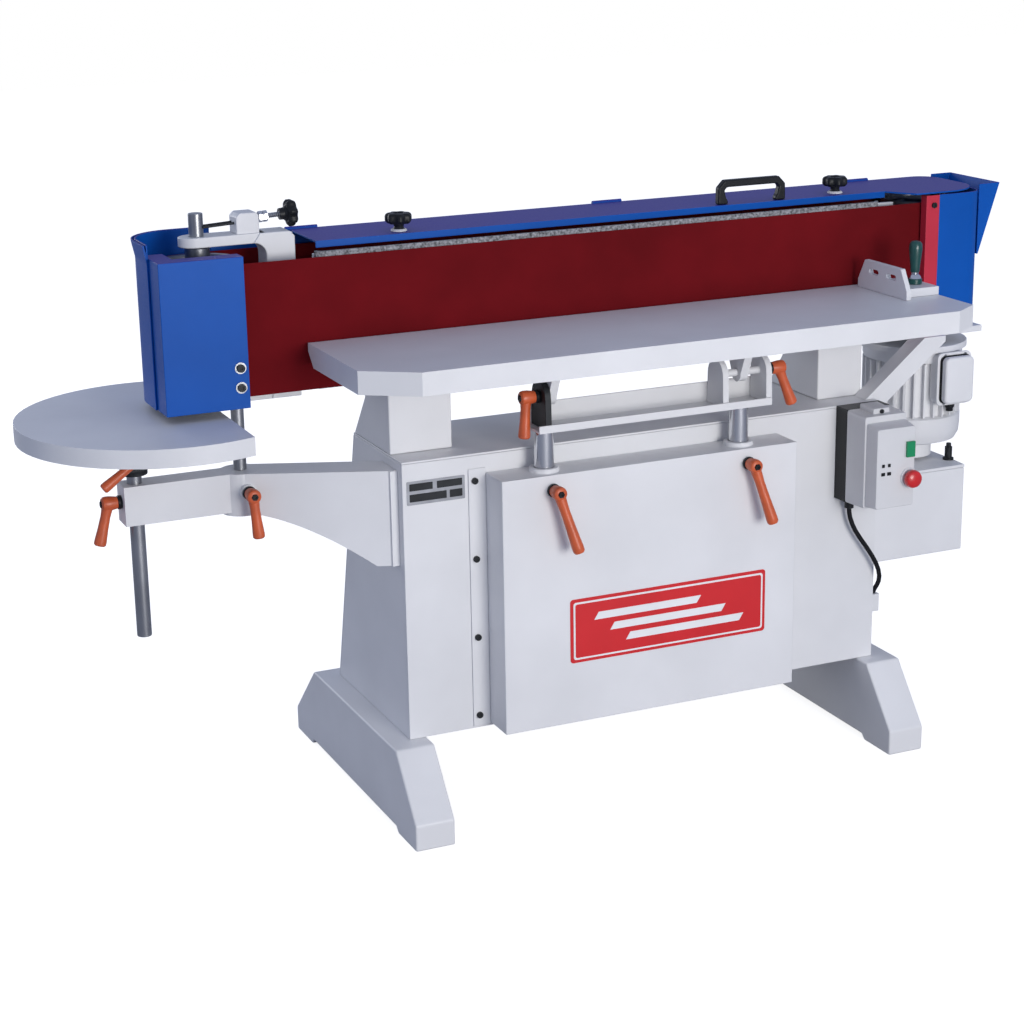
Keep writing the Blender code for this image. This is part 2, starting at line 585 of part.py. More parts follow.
def fixed_head(root):
    """The beam, the platen in front of it, and the guards round the belt."""
    pad_front = DRUM_Y - DRUM_RADIUS
    platen_front = pad_front + PAD_THICKNESS + GAP
    beam_front = platen_front + PLATEN_THICKNESS + GAP
    bend = PAD_THICKNESS + PLATEN_THICKNESS / 2
    pad = arc((PLATEN_LEFT + bend, pad_front + bend), bend, 180, 270, 4)
    pad += arc((PLATEN_RIGHT - bend, pad_front + bend), bend, 270, 360, 4)
    inner = bend - PAD_THICKNESS
    pad += arc((PLATEN_RIGHT - bend, pad_front + bend), inner, 360, 270, 4)
    pad += arc((PLATEN_LEFT + bend, pad_front + bend), inner, 270, 180, 4)
    piece("platen_pad", prism(pad, BELT_BOTTOM, PLATEN_TOP + PAD_THICKNESS / 2, "z"), "graphite_pad", root)
    inner -= GAP
    plate = arc((PLATEN_LEFT + bend, pad_front + bend), inner, 180, 270, 4)
    plate += arc((PLATEN_RIGHT - bend, pad_front + bend), inner, 270, 360, 4)
    plate += [(PLATEN_RIGHT - bend + inner, beam_front - GAP), (PLATEN_LEFT + bend - inner, beam_front - GAP)]
    piece("platen", prism(plate, BELT_BOTTOM, PLATEN_TOP, "z"), "grey_steel", root)
    floor_top = BEAM_FLOOR_BOTTOM + BEAM_FLOOR_HEIGHT
    section = [(beam_front, BEAM_FLOOR_BOTTOM), (beam_front + BEAM_DEPTH, BEAM_FLOOR_BOTTOM),
               (beam_front + BEAM_DEPTH, floor_top), (beam_front + BEAM_PLATE, floor_top),
               (beam_front + BEAM_PLATE, PLATEN_TOP - SHEET), (beam_front, PLATEN_TOP - SHEET)]
    piece("beam", prism(section, BEAM_LEFT, BEAM_RIGHT, "x"), "stand_enamel", root)

    left, right = LEFT_GUARD
    wall = [(left, DRUM_Y), (left, GUARD_FRONT), (right, GUARD_FRONT)]
    guard = piece("left_guard", prism(folded(wall, GUARD_SHEET), GUARD_BOTTOM, GUARD_TOP, "z"), "guard_blue", root)
    lip = (GUARD_TOP - GUARD_SHEET, GUARD_TOP)
    join(guard, block((left, right), (GUARD_FRONT, GUARD_FRONT + GUARD_LIP), lip))
    join(guard, block((left, left + GUARD_LIP), (GUARD_FRONT, DRUM_Y), lip))
    outer = left - GAP - GUARD_SHEET
    corner = (outer + HOOD_CORNER, GUARD_REAR - HOOD_CORNER)
    wall = [(right, GUARD_REAR)] + arc(corner, HOOD_CORNER, 90, 180, 8) + [(outer, DRUM_Y - HOOD_CORNER / 2)]
    piece("left_hood", prism(folded(wall, GUARD_SHEET), GUARD_BOTTOM, HOOD_TOP, "z"), "guard_blue", root, smooth=True)

    left_end, right_end = RIGHT_GUARD
    corner = (right_end - RIGHT_GUARD_CORNER, GUARD_FRONT + RIGHT_GUARD_CORNER)
    wall = [(left_end, GUARD_FRONT)] + arc(corner, RIGHT_GUARD_CORNER, 270, 360, 8) + [(right_end, GUARD_REAR)]
    piece("right_guard", prism(folded(wall, GUARD_SHEET), GUARD_BOTTOM, GUARD_TOP, "z"), "guard_blue", root,
          smooth=True)
    start = right_end + GAP
    tip = start + DEFLECTOR_REACH - GAP
    near, far = GUARD_FRONT + 0.022, GUARD_REAR - 0.012
    plate = [(start, DEFLECTOR_BOTTOM), (start + GUARD_SHEET, DEFLECTOR_BOTTOM), (tip, DEFLECTOR_TOP),
             (tip - GUARD_SHEET, DEFLECTOR_TOP)]
    hood = piece("right_hood", prism(plate, near, far, "y"), "guard_blue", root)
    cheek = [(start, DEFLECTOR_BOTTOM), (tip - GUARD_SHEET / 2, DEFLECTOR_TOP), (start, DEFLECTOR_TOP)]
    for y in (near, far - GUARD_SHEET):
        join(hood, prism(cheek, y, y + GUARD_SHEET, "y"))
    lip_front = GUARD_FRONT - GUARD_SHEET
    wall = [(ENTRY_LEFT, lip_front + 0.019), (ENTRY_LEFT, lip_front), (left_end - GAP, lip_front)]
    piece("entry_guard", prism(folded(wall, GUARD_SHEET), GUARD_BOTTOM, GUARD_TOP, "z"), "entry_red", root)
    piece("rear_guard", block((right + GAP, right_end - GUARD_SHEET - GAP), (GUARD_REAR - GUARD_SHEET, GUARD_REAR),
                              (GUARD_BOTTOM, GUARD_TOP)), "guard_blue", root)


def top_cover(root):
    """The cover that swings back on three knuckles, with its two knobs and its carrying handle."""
    hinge = (COVER_LEFT, GUARD_REAR + KNUCKLE_RADIUS / 2, COVER_TOP)
    body = pivot("top_cover_axis", hinge, root)
    right = RIGHT_GUARD[1] - GAP
    under = COVER_TOP - GUARD_SHEET
    step_front = GUARD_FRONT - GUARD_SHEET / 2
    nose, tail = 2 * RIGHT_GUARD_CORNER, RIGHT_GUARD_CORNER
    outline = [(COVER_LEFT, GUARD_REAR), (COVER_LEFT, COVER_FRONT), (COVER_STEP[0], COVER_FRONT),
               (COVER_STEP[1], step_front)]
    outline += arc((right - nose, step_front + nose), nose, 270, 360, 8)
    outline += arc((right - tail, GUARD_REAR - tail), tail, 0, 90, 6)
    cover = piece("top_cover", prism(outline, under, COVER_TOP, "z"), "guard_blue", body)
    join(cover, block((COVER_LEFT, COVER_STEP[0]), (COVER_FRONT, COVER_FRONT + GUARD_SHEET),
                      (COVER_TOP - COVER_LIP, COVER_TOP - GUARD_SHEET / 2)))
    for x in KNUCKLE_X:
        join(cover, rod(KNUCKLE_RADIUS, (x, hinge[1], COVER_TOP), -KNUCKLE_LENGTH / 2, KNUCKLE_LENGTH / 2,
                        (1, 0, 0), 12))
    for name, x in zip(("left_cover_knob", "right_cover_knob"), COVER_KNOB_X):
        place = (x, COVER_KNOB_Y + COVER_KNOB_RADIUS / 2, COVER_TOP)
        spindle = pivot(name + "_axis", place, body)
        button = piece(name, turned([(0.0, GAP), (0.010, GAP), (0.010, 0.016), (0.0, 0.016)], place, steps=16),
                       "black_plastic", spindle)
        crown = (place[0], place[1], COVER_TOP + 0.014)
        join(button, knob(COVER_KNOB_RADIUS, COVER_KNOB_HEIGHT - 0.014, crown))
    left_leg, right_leg = HANDLE_X
    base = COVER_TOP + GAP
    crest = base + HANDLE_HEIGHT
    thick = 2 * HANDLE_RADIUS
    grip = [(left_leg - thick, base), (left_leg, base), (left_leg, crest - 2 * thick),
            (left_leg + thick, crest - thick), (right_leg - thick, crest - thick), (right_leg, crest - 2 * thick),
            (right_leg, base), (right_leg + thick, base), (right_leg + thick, crest - thick),
            (right_leg, crest), (left_leg, crest), (left_leg - thick, crest - thick)]
    piece("cover_handle", prism(grip, COVER_FRONT + thick / 2, COVER_FRONT + 1.5 * thick, "y"),
          "black_plastic", body)


def belt_outline(radius):
    """The belt's path round both drums, at one distance from their axes."""
    return (arc((IDLER_X, DRUM_Y), radius, 90, 270, 18) + arc((DRIVE_X, DRUM_Y), radius, -90, 90, 18))


def drum_profile(bore):
    """Half of a drum's section, from its bore out and round; the edges have a small chamfer."""
    low, high = BELT_BOTTOM, BELT_BOTTOM + BELT_WIDTH
    edge = DRUM_RADIUS - 2 * BELT_THICKNESS
    return [(bore, low), (edge, low), (DRUM_RADIUS, low + 2 * BELT_THICKNESS),
            (DRUM_RADIUS, high - 2 * BELT_THICKNESS), (edge, high), (bore, high)]


def idler(root):
    """The tension bracket, its shaft and drum, and the tracking knob."""
    body = pivot("tension_axis", (IDLER_X, DRUM_Y, BRACKET_LOWER[0]), root)
    leg_left, leg_right = BRACKET_LEG
    outline = [(BRACKET_REACH, BRACKET_UPPER[1]), (BRACKET_REACH, BRACKET_UPPER[0]),
               (leg_left, BRACKET_UPPER[0]), (leg_left, BRACKET_LOWER[1]), (BRACKET_REACH, BRACKET_LOWER[1]),
               (BRACKET_REACH, BRACKET_LOWER[0]), (leg_right, BRACKET_LOWER[0]), (leg_right, BRACKET_UPPER[1])]
    bracket = piece("tension_bracket", prism(outline, DRUM_Y - BRACKET_HALF_DEPTH, DRUM_Y + BRACKET_HALF_DEPTH, "y"),
                    "stand_enamel", body)
    join(bracket, block(TRACKING_BLOCK, (DRUM_Y - TRACKING_BLOCK_HALF_DEPTH, DRUM_Y + TRACKING_BLOCK_HALF_DEPTH),
                        (BRACKET_UPPER[1] - SHEET, IDLER_SHAFT_TOP - SHEET)))
    low, high = BRACKET_LOWER[0], IDLER_SHAFT_TOP
    cut(bracket, rod(SHAFT_RADIUS + GAP, (IDLER_X, DRUM_Y, 0.0), low - SHEET, high + SHEET))
    piece("idler_shaft", rod(SHAFT_RADIUS, (IDLER_X, DRUM_Y, 0.0), low, high), "grey_steel", body, smooth=True)

    slope = Vector((math.cos(TRACKING_SLOPE), 0.0, math.sin(TRACKING_SLOPE)))
    start = Vector((TRACKING_BLOCK[1] + GAP, DRUM_Y, TRACKING_HEIGHT - SHEET))
    spindle = pivot("tracking_knob_axis", start, body)
    reach = (TRACKING_KNOB_X - start.x) / slope.x
    screw = piece("tracking_knob", turned([(0.0, GAP), (0.009, GAP), (0.009, 0.008), (0.005, 0.008),
                                           (0.005, reach + SHEET), (0.0, reach + SHEET)], start, slope, 16),
                  "black_plastic", spindle)
    join(screw, knob(TRACKING_KNOB_RADIUS, TRACKING_KNOB_LENGTH, start + slope * reach, slope))

    sleeve = pivot("idler_slide_axis", (IDLER_X, DRUM_Y, BELT_BOTTOM), body)
    spin = pivot("idler_drum_axis", (IDLER_X, DRUM_Y, BELT_BOTTOM), sleeve)
    piece("idler_drum", turned(drum_profile(SHAFT_RADIUS + RUNNING_GAP), (IDLER_X, DRUM_Y, 0.0),
                               steps=ROUND_STEPS, ring=True), "grey_steel", spin, smooth=True)


def end_arm(root):
    """The cast arm on the cabinet's left, its posts and clamp levers."""
    boss = Vector((*ARM_BOSS, 0.0))
    start = Vector((-GAP, sum(ARM_FLANGE_Y) / 2, 0.0))
    run = boss - start
    length = run.length
    rise = ARM_BOTTOM - ARM_FLANGE_BOTTOM
    shares = [1 - i / ARM_CURVE_STEPS for i in range(ARM_CURVE_STEPS + 1)]
    drop = [(0.0, ARM_FLANGE_BOTTOM)]
    drop += [((1 - 0.9 * share) * length, ARM_BOTTOM - rise * share ** ARM_CURVE) for share in shares]
    drop += [(length, ARM_TOP), (0.0, ARM_TOP)]
    web = prism(drop, -ARM_WIDTH / 2, ARM_WIDTH / 2, "y")
    web.transform(Matrix.Translation(start) @ Matrix.Rotation(math.atan2(run.y, run.x), 4, "Z"))
    flange = block((-ARM_FLANGE_THICKNESS, -GAP), ARM_FLANGE_Y, (ARM_FLANGE_BOTTOM, ARM_TOP))
    arm = piece("end_arm", flange, "stand_enamel", root)
    join(arm, web)
    cut(arm, block((-GAP, 4 * ARM_WIDTH), (-ARM_WIDTH, 4 * ARM_WIDTH), (0.0, 2 * ARM_TOP)))
    join(arm, rod(ARM_BOSS_RADIUS, boss, ARM_BOSS_BOTTOM, ARM_TOP + GAP, steps=32))
    depth = (DRUM_Y - ARM_END_HALF_DEPTH, DRUM_Y + ARM_END_HALF_DEPTH)
    end = END_POST_X - ARM_END_HALF_DEPTH
    join(arm, block((end, boss.x), depth, (ARM_BOTTOM, ARM_TOP)))
    cut(arm, rod(END_POST_RADIUS + RUNNING_GAP, (END_POST_X, DRUM_Y, 0.0), ARM_BOTTOM / 2, 2 * ARM_TOP))
    piece("steady_post", rod(STEADY_RADIUS, boss, ARM_TOP + 2 * GAP, BRACKET_LOWER[0] - GAP), "grey_steel",
          root, smooth=True)
    middle = (ARM_BOTTOM + ARM_TOP) / 2 + SHEET
    lever("post_lever", (end, DRUM_Y, middle), (-1, 0, 0), (end - 0.044, DRUM_Y - 0.004, middle - 0.072), root)
    clamp = Vector((boss.x, boss.y - ARM_BOSS_RADIUS - CLAMP_BOSS, middle))
    join(arm, rod(1.1 * LEVER_HUB_RADIUS, clamp, 0.0, 2 * CLAMP_BOSS, (0, 1, 0), 16))
    lever("arm_lever", clamp, (0, -1, 0), clamp + Vector((0.006, -0.028, -0.076)), root)

    slide = pivot("end_post_axis", (END_POST_X, DRUM_Y, END_POST_BOTTOM), root)
    piece("end_post", rod(END_POST_RADIUS, (END_POST_X, DRUM_Y, 0.0), END_POST_BOTTOM, SOCKET_BOTTOM - GAP),
          "grey_steel", slide, smooth=True)
    swivel = pivot("end_swivel_axis", (END_POST_X, DRUM_Y, SOCKET_BOTTOM), slide)
    cheek_front = DRUM_Y - END_CHEEK
    centre = (END_POST_X, cheek_front, END_TILT_Z)
    trunnion = piece("end_trunnion", rod(SOCKET_RADIUS, (END_POST_X, DRUM_Y, 0.0), SOCKET_BOTTOM, SOCKET_TOP),
                     "black_steel", swivel)
    join(trunnion, block((END_POST_X - PIN_RADIUS * 2, END_POST_X + PIN_RADIUS * 2), (cheek_front, DRUM_Y - GAP),
                         (SOCKET_TOP - SHEET, END_TILT_Z)))
    join(trunnion, rod(END_TILT_RADIUS, centre, 0.0, END_CHEEK - GAP, (0, 1, 0)))
    join(trunnion, rod(PIN_RADIUS, centre, SHEET, 2 * END_CHEEK, (0, 1, 0)))
    lever("end_tilt_lever", centre, (0, -1, 0), (END_POST_X - 0.068, cheek_front - 0.028, END_TILT_Z - 0.045), swivel)

    tilt = pivot("end_tilt_axis", centre, swivel)
    under = END_TABLE_TOP - END_TABLE_THICKNESS
    corner = math.degrees(math.acos((END_TABLE_EDGE - END_TABLE_CENTRE[0]) / END_TABLE_RADIUS))
    outline = arc(END_TABLE_CENTRE, END_TABLE_RADIUS, corner, 360 - corner, ROUND_STEPS)
    plate = piece("end_table", prism(outline, under, END_TABLE_TOP, "z"), "stand_enamel", tilt)
    half = END_LUG_WIDTH / 2
    lug = [(END_POST_X + half, under + SHEET), (END_POST_X - half, under + SHEET)]
    lug += arc((END_POST_X, END_TILT_Z), END_TILT_RADIUS, 180, 360, 12)
    join(plate, prism(lug, DRUM_Y + GAP, DRUM_Y + END_CHEEK, "y"))
    cut(plate, rod(PIN_RADIUS + RUNNING_GAP, centre, END_CHEEK, 3 * END_CHEEK, (0, 1, 0)))


def drive(root):
    """The motor that rises and falls with the belt, the drive drum, the gear housing and its eccentric."""
    axis = (DRIVE_X, DRUM_Y, 0.0)
    body = pivot("oscillation_axis", (DRIVE_X, DRUM_Y, MOTOR_BOTTOM), root)
    neck = 0.4 * MOTOR_RADIUS
    bell = MOTOR_BOTTOM + 0.028
    flange = MOTOR_TOP - 0.020
    profile = [(0.0, MOTOR_BOTTOM), (neck, MOTOR_BOTTOM), (neck, bell), (0.86 * MOTOR_RADIUS, bell),
               (MOTOR_RADIUS, bell + 0.030), (MOTOR_RADIUS, flange), (MOTOR_FLANGE_RADIUS, flange),
               (MOTOR_FLANGE_RADIUS, MOTOR_TOP), (0.0, MOTOR_TOP)]
    piece("motor", turned(profile, axis, steps=32), "stand_enamel", body, smooth=True)
    box = piece("terminal_box", block(TERMINAL_BOX, (TERMINAL_BOX_FRONT, TERMINAL_BOX_FRONT + 2 * TERMINAL_BOX_DEPTH),
                                      TERMINAL_BOX_HEIGHTS), "stand_enamel", body)
    cut(box, rod(MOTOR_FLANGE_RADIUS + GAP, axis, MOTOR_BOTTOM, 2 * MOTOR_TOP, steps=32))
    radius = DRUM_RADIUS + GAP
    piece("sanding_belt", band(belt_outline(radius + BELT_THICKNESS), belt_outline(radius),
                               BELT_BOTTOM, BELT_BOTTOM + BELT_WIDTH), "belt_cloth", body, smooth=True)
    spin = pivot("drive_drum_axis", (DRIVE_X, DRUM_Y, BELT_BOTTOM), body)
    profile = [(0.0, MOTOR_TOP + GAP), (DRIVE_SHAFT_RADIUS, MOTOR_TOP + GAP)]
    profile += drum_profile(DRIVE_SHAFT_RADIUS)[:-1] + [(0.0, BELT_BOTTOM + BELT_WIDTH)]
    piece("drive_drum", turned(profile, axis, steps=ROUND_STEPS), "grey_steel", spin, smooth=True)

    front = GUARD_FRONT + GAP
    plate_top = MOTOR_PLATE_BOTTOM + MOTOR_PLATE_THICKNESS
    plate = piece("motor_bracket", block(MOTOR_PLATE, (front, GUARD_REAR), (MOTOR_PLATE_BOTTOM, plate_top)),
                  "stand_enamel", root)
    beam_front = DRUM_Y - DRUM_RADIUS + PAD_THICKNESS + PLATEN_THICKNESS + 2 * GAP
    join(plate, block((MOTOR_PLATE[0], BEAM_RIGHT), (beam_front, beam_front + BEAM_DEPTH),
                      (plate_top - SHEET, BEAM_FLOOR_BOTTOM - GAP)))
    cut(plate, rod(2 * DRIVE_SHAFT_RADIUS, axis, CABINET_TOP, BEAM_FLOOR_BOTTOM))
    foot = CABINET_TOP + GAP
    side = CABINET_WIDTH + GAP
    outline = [(CABINET_WIDTH - BRACE_HEEL, foot), (side, foot), (side, foot - BRACE_HEEL),
               (side + BRACE_HEEL / 2, foot - BRACE_HEEL), (TERMINAL_BOX[0] - 0.002, MOTOR_PLATE_BOTTOM),
               (TERMINAL_BOX[0] - 0.002, plate_top), (TERMINAL_BOX[0] - 0.050, plate_top)]
    join(plate, prism(outline, *BRACE_Y, "y"))
    join(plate, block((TERMINAL_BOX[0] - 0.050, TERMINAL_BOX[0] - 0.002), (BRACE_Y[0], front + SHEET),
                      (MOTOR_PLATE_BOTTOM, plate_top)))

    near = CABINET_WIDTH + GAP
    rim = GEAR_BOX_TOP - GEAR_COVER_THICKNESS - GAP
    housing = piece("gear_housing", block((near, GEAR_BOX_RIGHT), (GEAR_BOX_FRONT, GEAR_BOX_REAR),
                                          (GEAR_BOX_BOTTOM, rim)), "stand_enamel", root)
    wall = GEAR_BOX_WALL
    cut(housing, block((near + wall, GEAR_BOX_RIGHT - wall), (GEAR_BOX_FRONT + wall, GEAR_BOX_REAR - wall),
                       (GEAR_BOX_BOTTOM + wall, GEAR_BOX_TOP)))
    cover = piece("gear_housing_cover", block((near, GEAR_BOX_RIGHT), (GEAR_BOX_FRONT, GEAR_BOX_REAR),
                                              (rim + GAP, GEAR_BOX_TOP)), "stand_enamel", root)
    for x, y in GUIDE_RODS:
        join(cover, rod(GUIDE_ROD_RADIUS, (x, y, GEAR_BOX_TOP), -GEAR_COVER_THICKNESS / 2, GUIDE_ROD_HEIGHT, steps=16))
    spindle = pivot("eccentric_axis", ECCENTRIC_CENTRE, root)
    half = ECCENTRIC_THICKNESS / 2
    wheel = piece("eccentric_wheel", rod(ECCENTRIC_RADIUS, ECCENTRIC_CENTRE, -half, half, (0, 1, 0), 32),
                  "grey_steel", spindle, smooth=True)
    pin = (ECCENTRIC_CENTRE[0] + ECCENTRIC_THROW, *ECCENTRIC_CENTRE[1:])
    join(wheel, rod(ECCENTRIC_PIN_RADIUS, pin, 0.0, ECCENTRIC_THICKNESS, (0, 1, 0), 16))


def starter(root):
    """The magnetic starter on the cabinet's front, its two buttons, and the cord to the cabinet."""
    left, right = STARTER_LEFT, STARTER_LEFT + STARTER_WIDTH
    back = piece("starter_back", block((left, right), (-STARTER_BACK_DEPTH, -GAP), (STARTER_BOTTOM, STARTER_TOP)),
                 "black_plastic", root)
    outlet = CORD_ROUTE[0]
    join(back, rod(GLAND_RADIUS, (outlet[0], outlet[1], STARTER_BOTTOM), -GLAND_LENGTH, SHEET, steps=16))
    base_y, face_y = -STARTER_BACK_DEPTH - GAP, -STARTER_DEPTH
    corners = [(x, base_y, z) for x in (left, right) for z in (STARTER_BOTTOM, STARTER_TOP)]
    corners += [(x, face_y, z) for x in (left + STARTER_TAPER / 2, right - STARTER_TAPER / 2)
                for z in (STARTER_BOTTOM + STARTER_TAPER, STARTER_TOP - STARTER_TAPER)]
    cover = piece("starter_cover", hull(corners), "stand_enamel", root)
    pocket = 3 * BUTTON_TRAVEL
    half_width, half_height = START_SIZE[0] / 2, START_SIZE[1] / 2
    grown = RUNNING_GAP
    cut(cover, block((BUTTON_X - half_width - grown, BUTTON_X + half_width + grown),
                     (face_y - pocket, face_y + pocket), (START_Z - half_height - grown, START_Z + half_height + grown)))
    stem = 0.6 * STOP_HEAD_RADIUS
    cut(cover, rod(stem + grown, (BUTTON_X, face_y, STOP_Z), -pocket, pocket, (0, 1, 0)))
    seat = pocket - BUTTON_TRAVEL - 2 * grown
    axis = pivot("start_button_axis", (BUTTON_X, face_y, START_Z), root)
    piece("start_button", block((BUTTON_X - half_width, BUTTON_X + half_width), (face_y - 1.2 * BUTTON_TRAVEL, face_y + seat),
                                (START_Z - half_height, START_Z + half_height)), "start_green", axis)
    axis = pivot("stop_button_axis", (BUTTON_X, face_y, STOP_Z), root)
    head = BUTTON_TRAVEL + 2 * grown
    profile = [(0.0, -seat), (stem, -seat), (stem, head), (STOP_HEAD_RADIUS, head), (STOP_HEAD_RADIUS, head + 0.010),
               (0.8 * STOP_HEAD_RADIUS, head + 0.017), (0.0, head + 0.020)]
    piece("stop_button", turned(profile, (BUTTON_X, face_y, STOP_Z), (0, -1, 0)), "stop_red", axis, smooth=True)

    curve = bpy.data.curves.new("switch_cord", "CURVE")
    curve.dimensions = "3D"
    curve.bevel_depth = CORD_RADIUS
    curve.bevel_resolution = 2
    curve.use_fill_caps = True
    spline = curve.splines.new("POLY")
    spline.points.add(len(CORD_ROUTE) - 1)
    for point, place in zip(spline.points, CORD_ROUTE):
        point.co = (*place, 1.0)
    curve.materials.append(finish("cord_black"))
    cord = bpy.data.objects.new("switch_cord", curve)
    bpy.context.scene.collection.objects.link(cord)
    cord.parent = root


def main():
    for obj in list(bpy.data.objects):
        bpy.data.objects.remove(obj)
    root = pivot("machine", (0.0, 0.0, 0.0))
    stand(root)
    lift_body = lift(root)
    table(lift_body)
    front = -LIFT_BOX_DEPTH
    for name, x in zip(("left_column_lever", "right_column_lever"), COLUMN_X):
        hub = (x, front, LIFT_BOX_TOP - COLLAR_RADIUS)
        lever(name, hub, (0, -1, 0), (x + 0.030, front - 0.044, hub[2] - 0.108), root)
    lever("left_tilt_lever", (TRUNNION_LEFT, TILT_Y, TILT_Z), (-1, 0, 0),
          (TRUNNION_LEFT - 0.030, TILT_Y - 0.004, TILT_Z - 0.072), lift_body)
    bracket_end = BRACKET_RIGHT + BRACKET_THICKNESS + PIN_RADIUS
    lever("right_tilt_lever", (bracket_end, TILT_Y, TILT_Z), (1, 0, 0),
          (bracket_end + 0.050, TILT_Y - 0.006, TILT_Z - 0.070), lift_body)
    fixed_head(root)
    top_cover(root)
    idler(root)
    end_arm(root)
    drive(root)
    starter(root)


main()
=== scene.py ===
import json
import math

import bmesh
import bpy
from mathutils import Matrix, Vector


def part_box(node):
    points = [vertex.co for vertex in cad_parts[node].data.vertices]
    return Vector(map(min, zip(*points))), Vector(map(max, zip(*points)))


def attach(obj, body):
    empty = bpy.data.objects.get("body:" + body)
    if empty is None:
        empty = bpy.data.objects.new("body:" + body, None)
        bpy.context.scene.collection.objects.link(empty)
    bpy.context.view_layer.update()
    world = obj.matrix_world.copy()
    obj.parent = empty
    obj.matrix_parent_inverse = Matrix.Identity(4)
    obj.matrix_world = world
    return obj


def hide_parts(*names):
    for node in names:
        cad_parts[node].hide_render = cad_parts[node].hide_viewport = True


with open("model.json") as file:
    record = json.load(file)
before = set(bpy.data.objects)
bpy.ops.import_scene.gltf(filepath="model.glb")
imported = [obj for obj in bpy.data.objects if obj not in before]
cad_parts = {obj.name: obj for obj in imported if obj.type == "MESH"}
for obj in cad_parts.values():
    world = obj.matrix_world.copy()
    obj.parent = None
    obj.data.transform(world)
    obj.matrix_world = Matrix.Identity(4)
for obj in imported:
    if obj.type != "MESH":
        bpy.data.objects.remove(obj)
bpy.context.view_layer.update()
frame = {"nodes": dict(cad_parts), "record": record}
nodes = frame["nodes"]
bodyOfNode = {}
for bodyName, members in frame["record"]["behaviour"]["bodies"].items():
    for member in members:
        bodyOfNode[member] = bodyName
slotOfNode = {part["node"]: part["material_slot"] for part in frame["record"]["subparts"]}
print("frame loaded:", len(nodes), "nodes")

# places are measured from the cabinet's front left corner on the floor
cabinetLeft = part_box("cabinet_left_side")[0].x
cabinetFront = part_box("cabinet_front")[0].y


def at(x, y, z):
    return Vector((cabinetLeft + x, cabinetFront + y, z))


# camera, light and floor
def makeStage():
    view = dict(place=(-1.3087, -3.4343, 1.6781), yaw=0.416, pitch=0.289, roll=-0.017, lens=77.0)
    forward = Vector((math.sin(view["yaw"]) * math.cos(view["pitch"]),
                      math.cos(view["yaw"]) * math.cos(view["pitch"]), -math.sin(view["pitch"])))
    level = Vector((math.cos(view["yaw"]), -math.sin(view["yaw"]), 0.0))
    above = level.cross(forward)
    side = level * math.cos(view["roll"]) + above * math.sin(view["roll"])
    top = above * math.cos(view["roll"]) - level * math.sin(view["roll"])
    lensData = bpy.data.cameras.new("viewCamera")
    lensData.lens = view["lens"]
    lensData.sensor_width = 36.0
    lensData.clip_end = 60.0
    camera = bpy.data.objects.new("viewCamera", lensData)
    bpy.context.scene.collection.objects.link(camera)
    turn = Matrix((side, top, -forward)).transposed().to_4x4()
    camera.matrix_world = Matrix.Translation(at(*view["place"])) @ turn
    bpy.context.scene.camera = camera
    bpy.context.scene.view_settings.view_transform = "Standard"

    lamps = dict(
        key=dict(place=(0.8, -4.6, 1.25), size=2.0, power=124, colour=(1.0, 0.985, 0.96)),
        leftFill=dict(place=(-3.6, -1.2, 1.6), size=2.4, power=3, colour=(0.75, 0.82, 1.0)),
        rear=dict(place=(-1.2, 4.2, 1.5), size=1.8, power=38, colour=(1.0, 1.0, 1.0)),
    )
    target = at(0.4, 0.1, 0.6)
    for name, lamp in lamps.items():
        data = bpy.data.lights.new(name, "AREA")
        data.shape = "DISK"
        data.size = lamp["size"]
        data.energy = lamp["power"]
        data.color = lamp["colour"]
        light = bpy.data.objects.new(name, data)
        bpy.context.scene.collection.objects.link(light)
        light.location = at(*lamp["place"])
        light.rotation_euler = (target - light.location).to_track_quat("-Z", "Y").to_euler()
    world = bpy.data.worlds.new("paleRoom")
    world.use_nodes = True
    tree = world.node_tree
    ambient = tree.nodes["Background"]
    ambient.inputs["Color"].default_value = (0.62, 0.70, 0.94, 1.0)
    ambient.inputs["Strength"].default_value = 0.55
    backdrop = tree.nodes.new("ShaderNodeBackground")
    backdrop.inputs["Color"].default_value = (1.0, 1.0, 1.0, 1.0)
    backdrop.inputs["Strength"].default_value = 1.0
    seen = tree.nodes.new("ShaderNodeLightPath")
    choice = tree.nodes.new("ShaderNodeMixShader")
    tree.links.new(seen.outputs["Is Camera Ray"], choice.inputs["Fac"])
    tree.links.new(ambient.outputs["Background"], choice.inputs[1])
    tree.links.new(backdrop.outputs["Background"], choice.inputs[2])
    tree.links.new(choice.outputs["Shader"], tree.nodes["World Output"].inputs["Surface"])
    bpy.context.scene.world = world

    mesh = bpy.data.meshes.new("paleFloor")
    reach = 14.0
    mesh.from_pydata([(-reach, -reach, 0), (reach, -reach, 0), (reach, reach, 0), (-reach, reach, 0)],
                     [], [(0, 1, 2, 3)])
    floor = bpy.data.objects.new("paleFloor", mesh)
    bpy.context.scene.collection.objects.link(floor)
    paint = bpy.data.materials.new("paleFloor")
    paint.use_nodes = True
    tree = paint.node_tree
    shader = tree.nodes["Principled BSDF"]
    shader.inputs["Base Color"].default_value = (0.5, 0.5, 0.52, 1.0)
    shader.inputs["Roughness"].default_value = 0.9
    shader.inputs["Specular IOR Level"].default_value = 0.0
    shader.inputs["Emission Color"].default_value = (1.0, 1.0, 1.0, 1.0)
    seen = tree.nodes.new("ShaderNodeLightPath")
    glow = tree.nodes.new("ShaderNodeMath")
    glow.operation = "MULTIPLY"
    glow.inputs[1].default_value = 0.86
    tree.links.new(seen.outputs["Is Camera Ray"], glow.inputs[0])
    tree.links.new(glow.outputs[0], shader.inputs["Emission Strength"])
    mesh.materials.append(paint)
    print("stage ready")


makeStage()


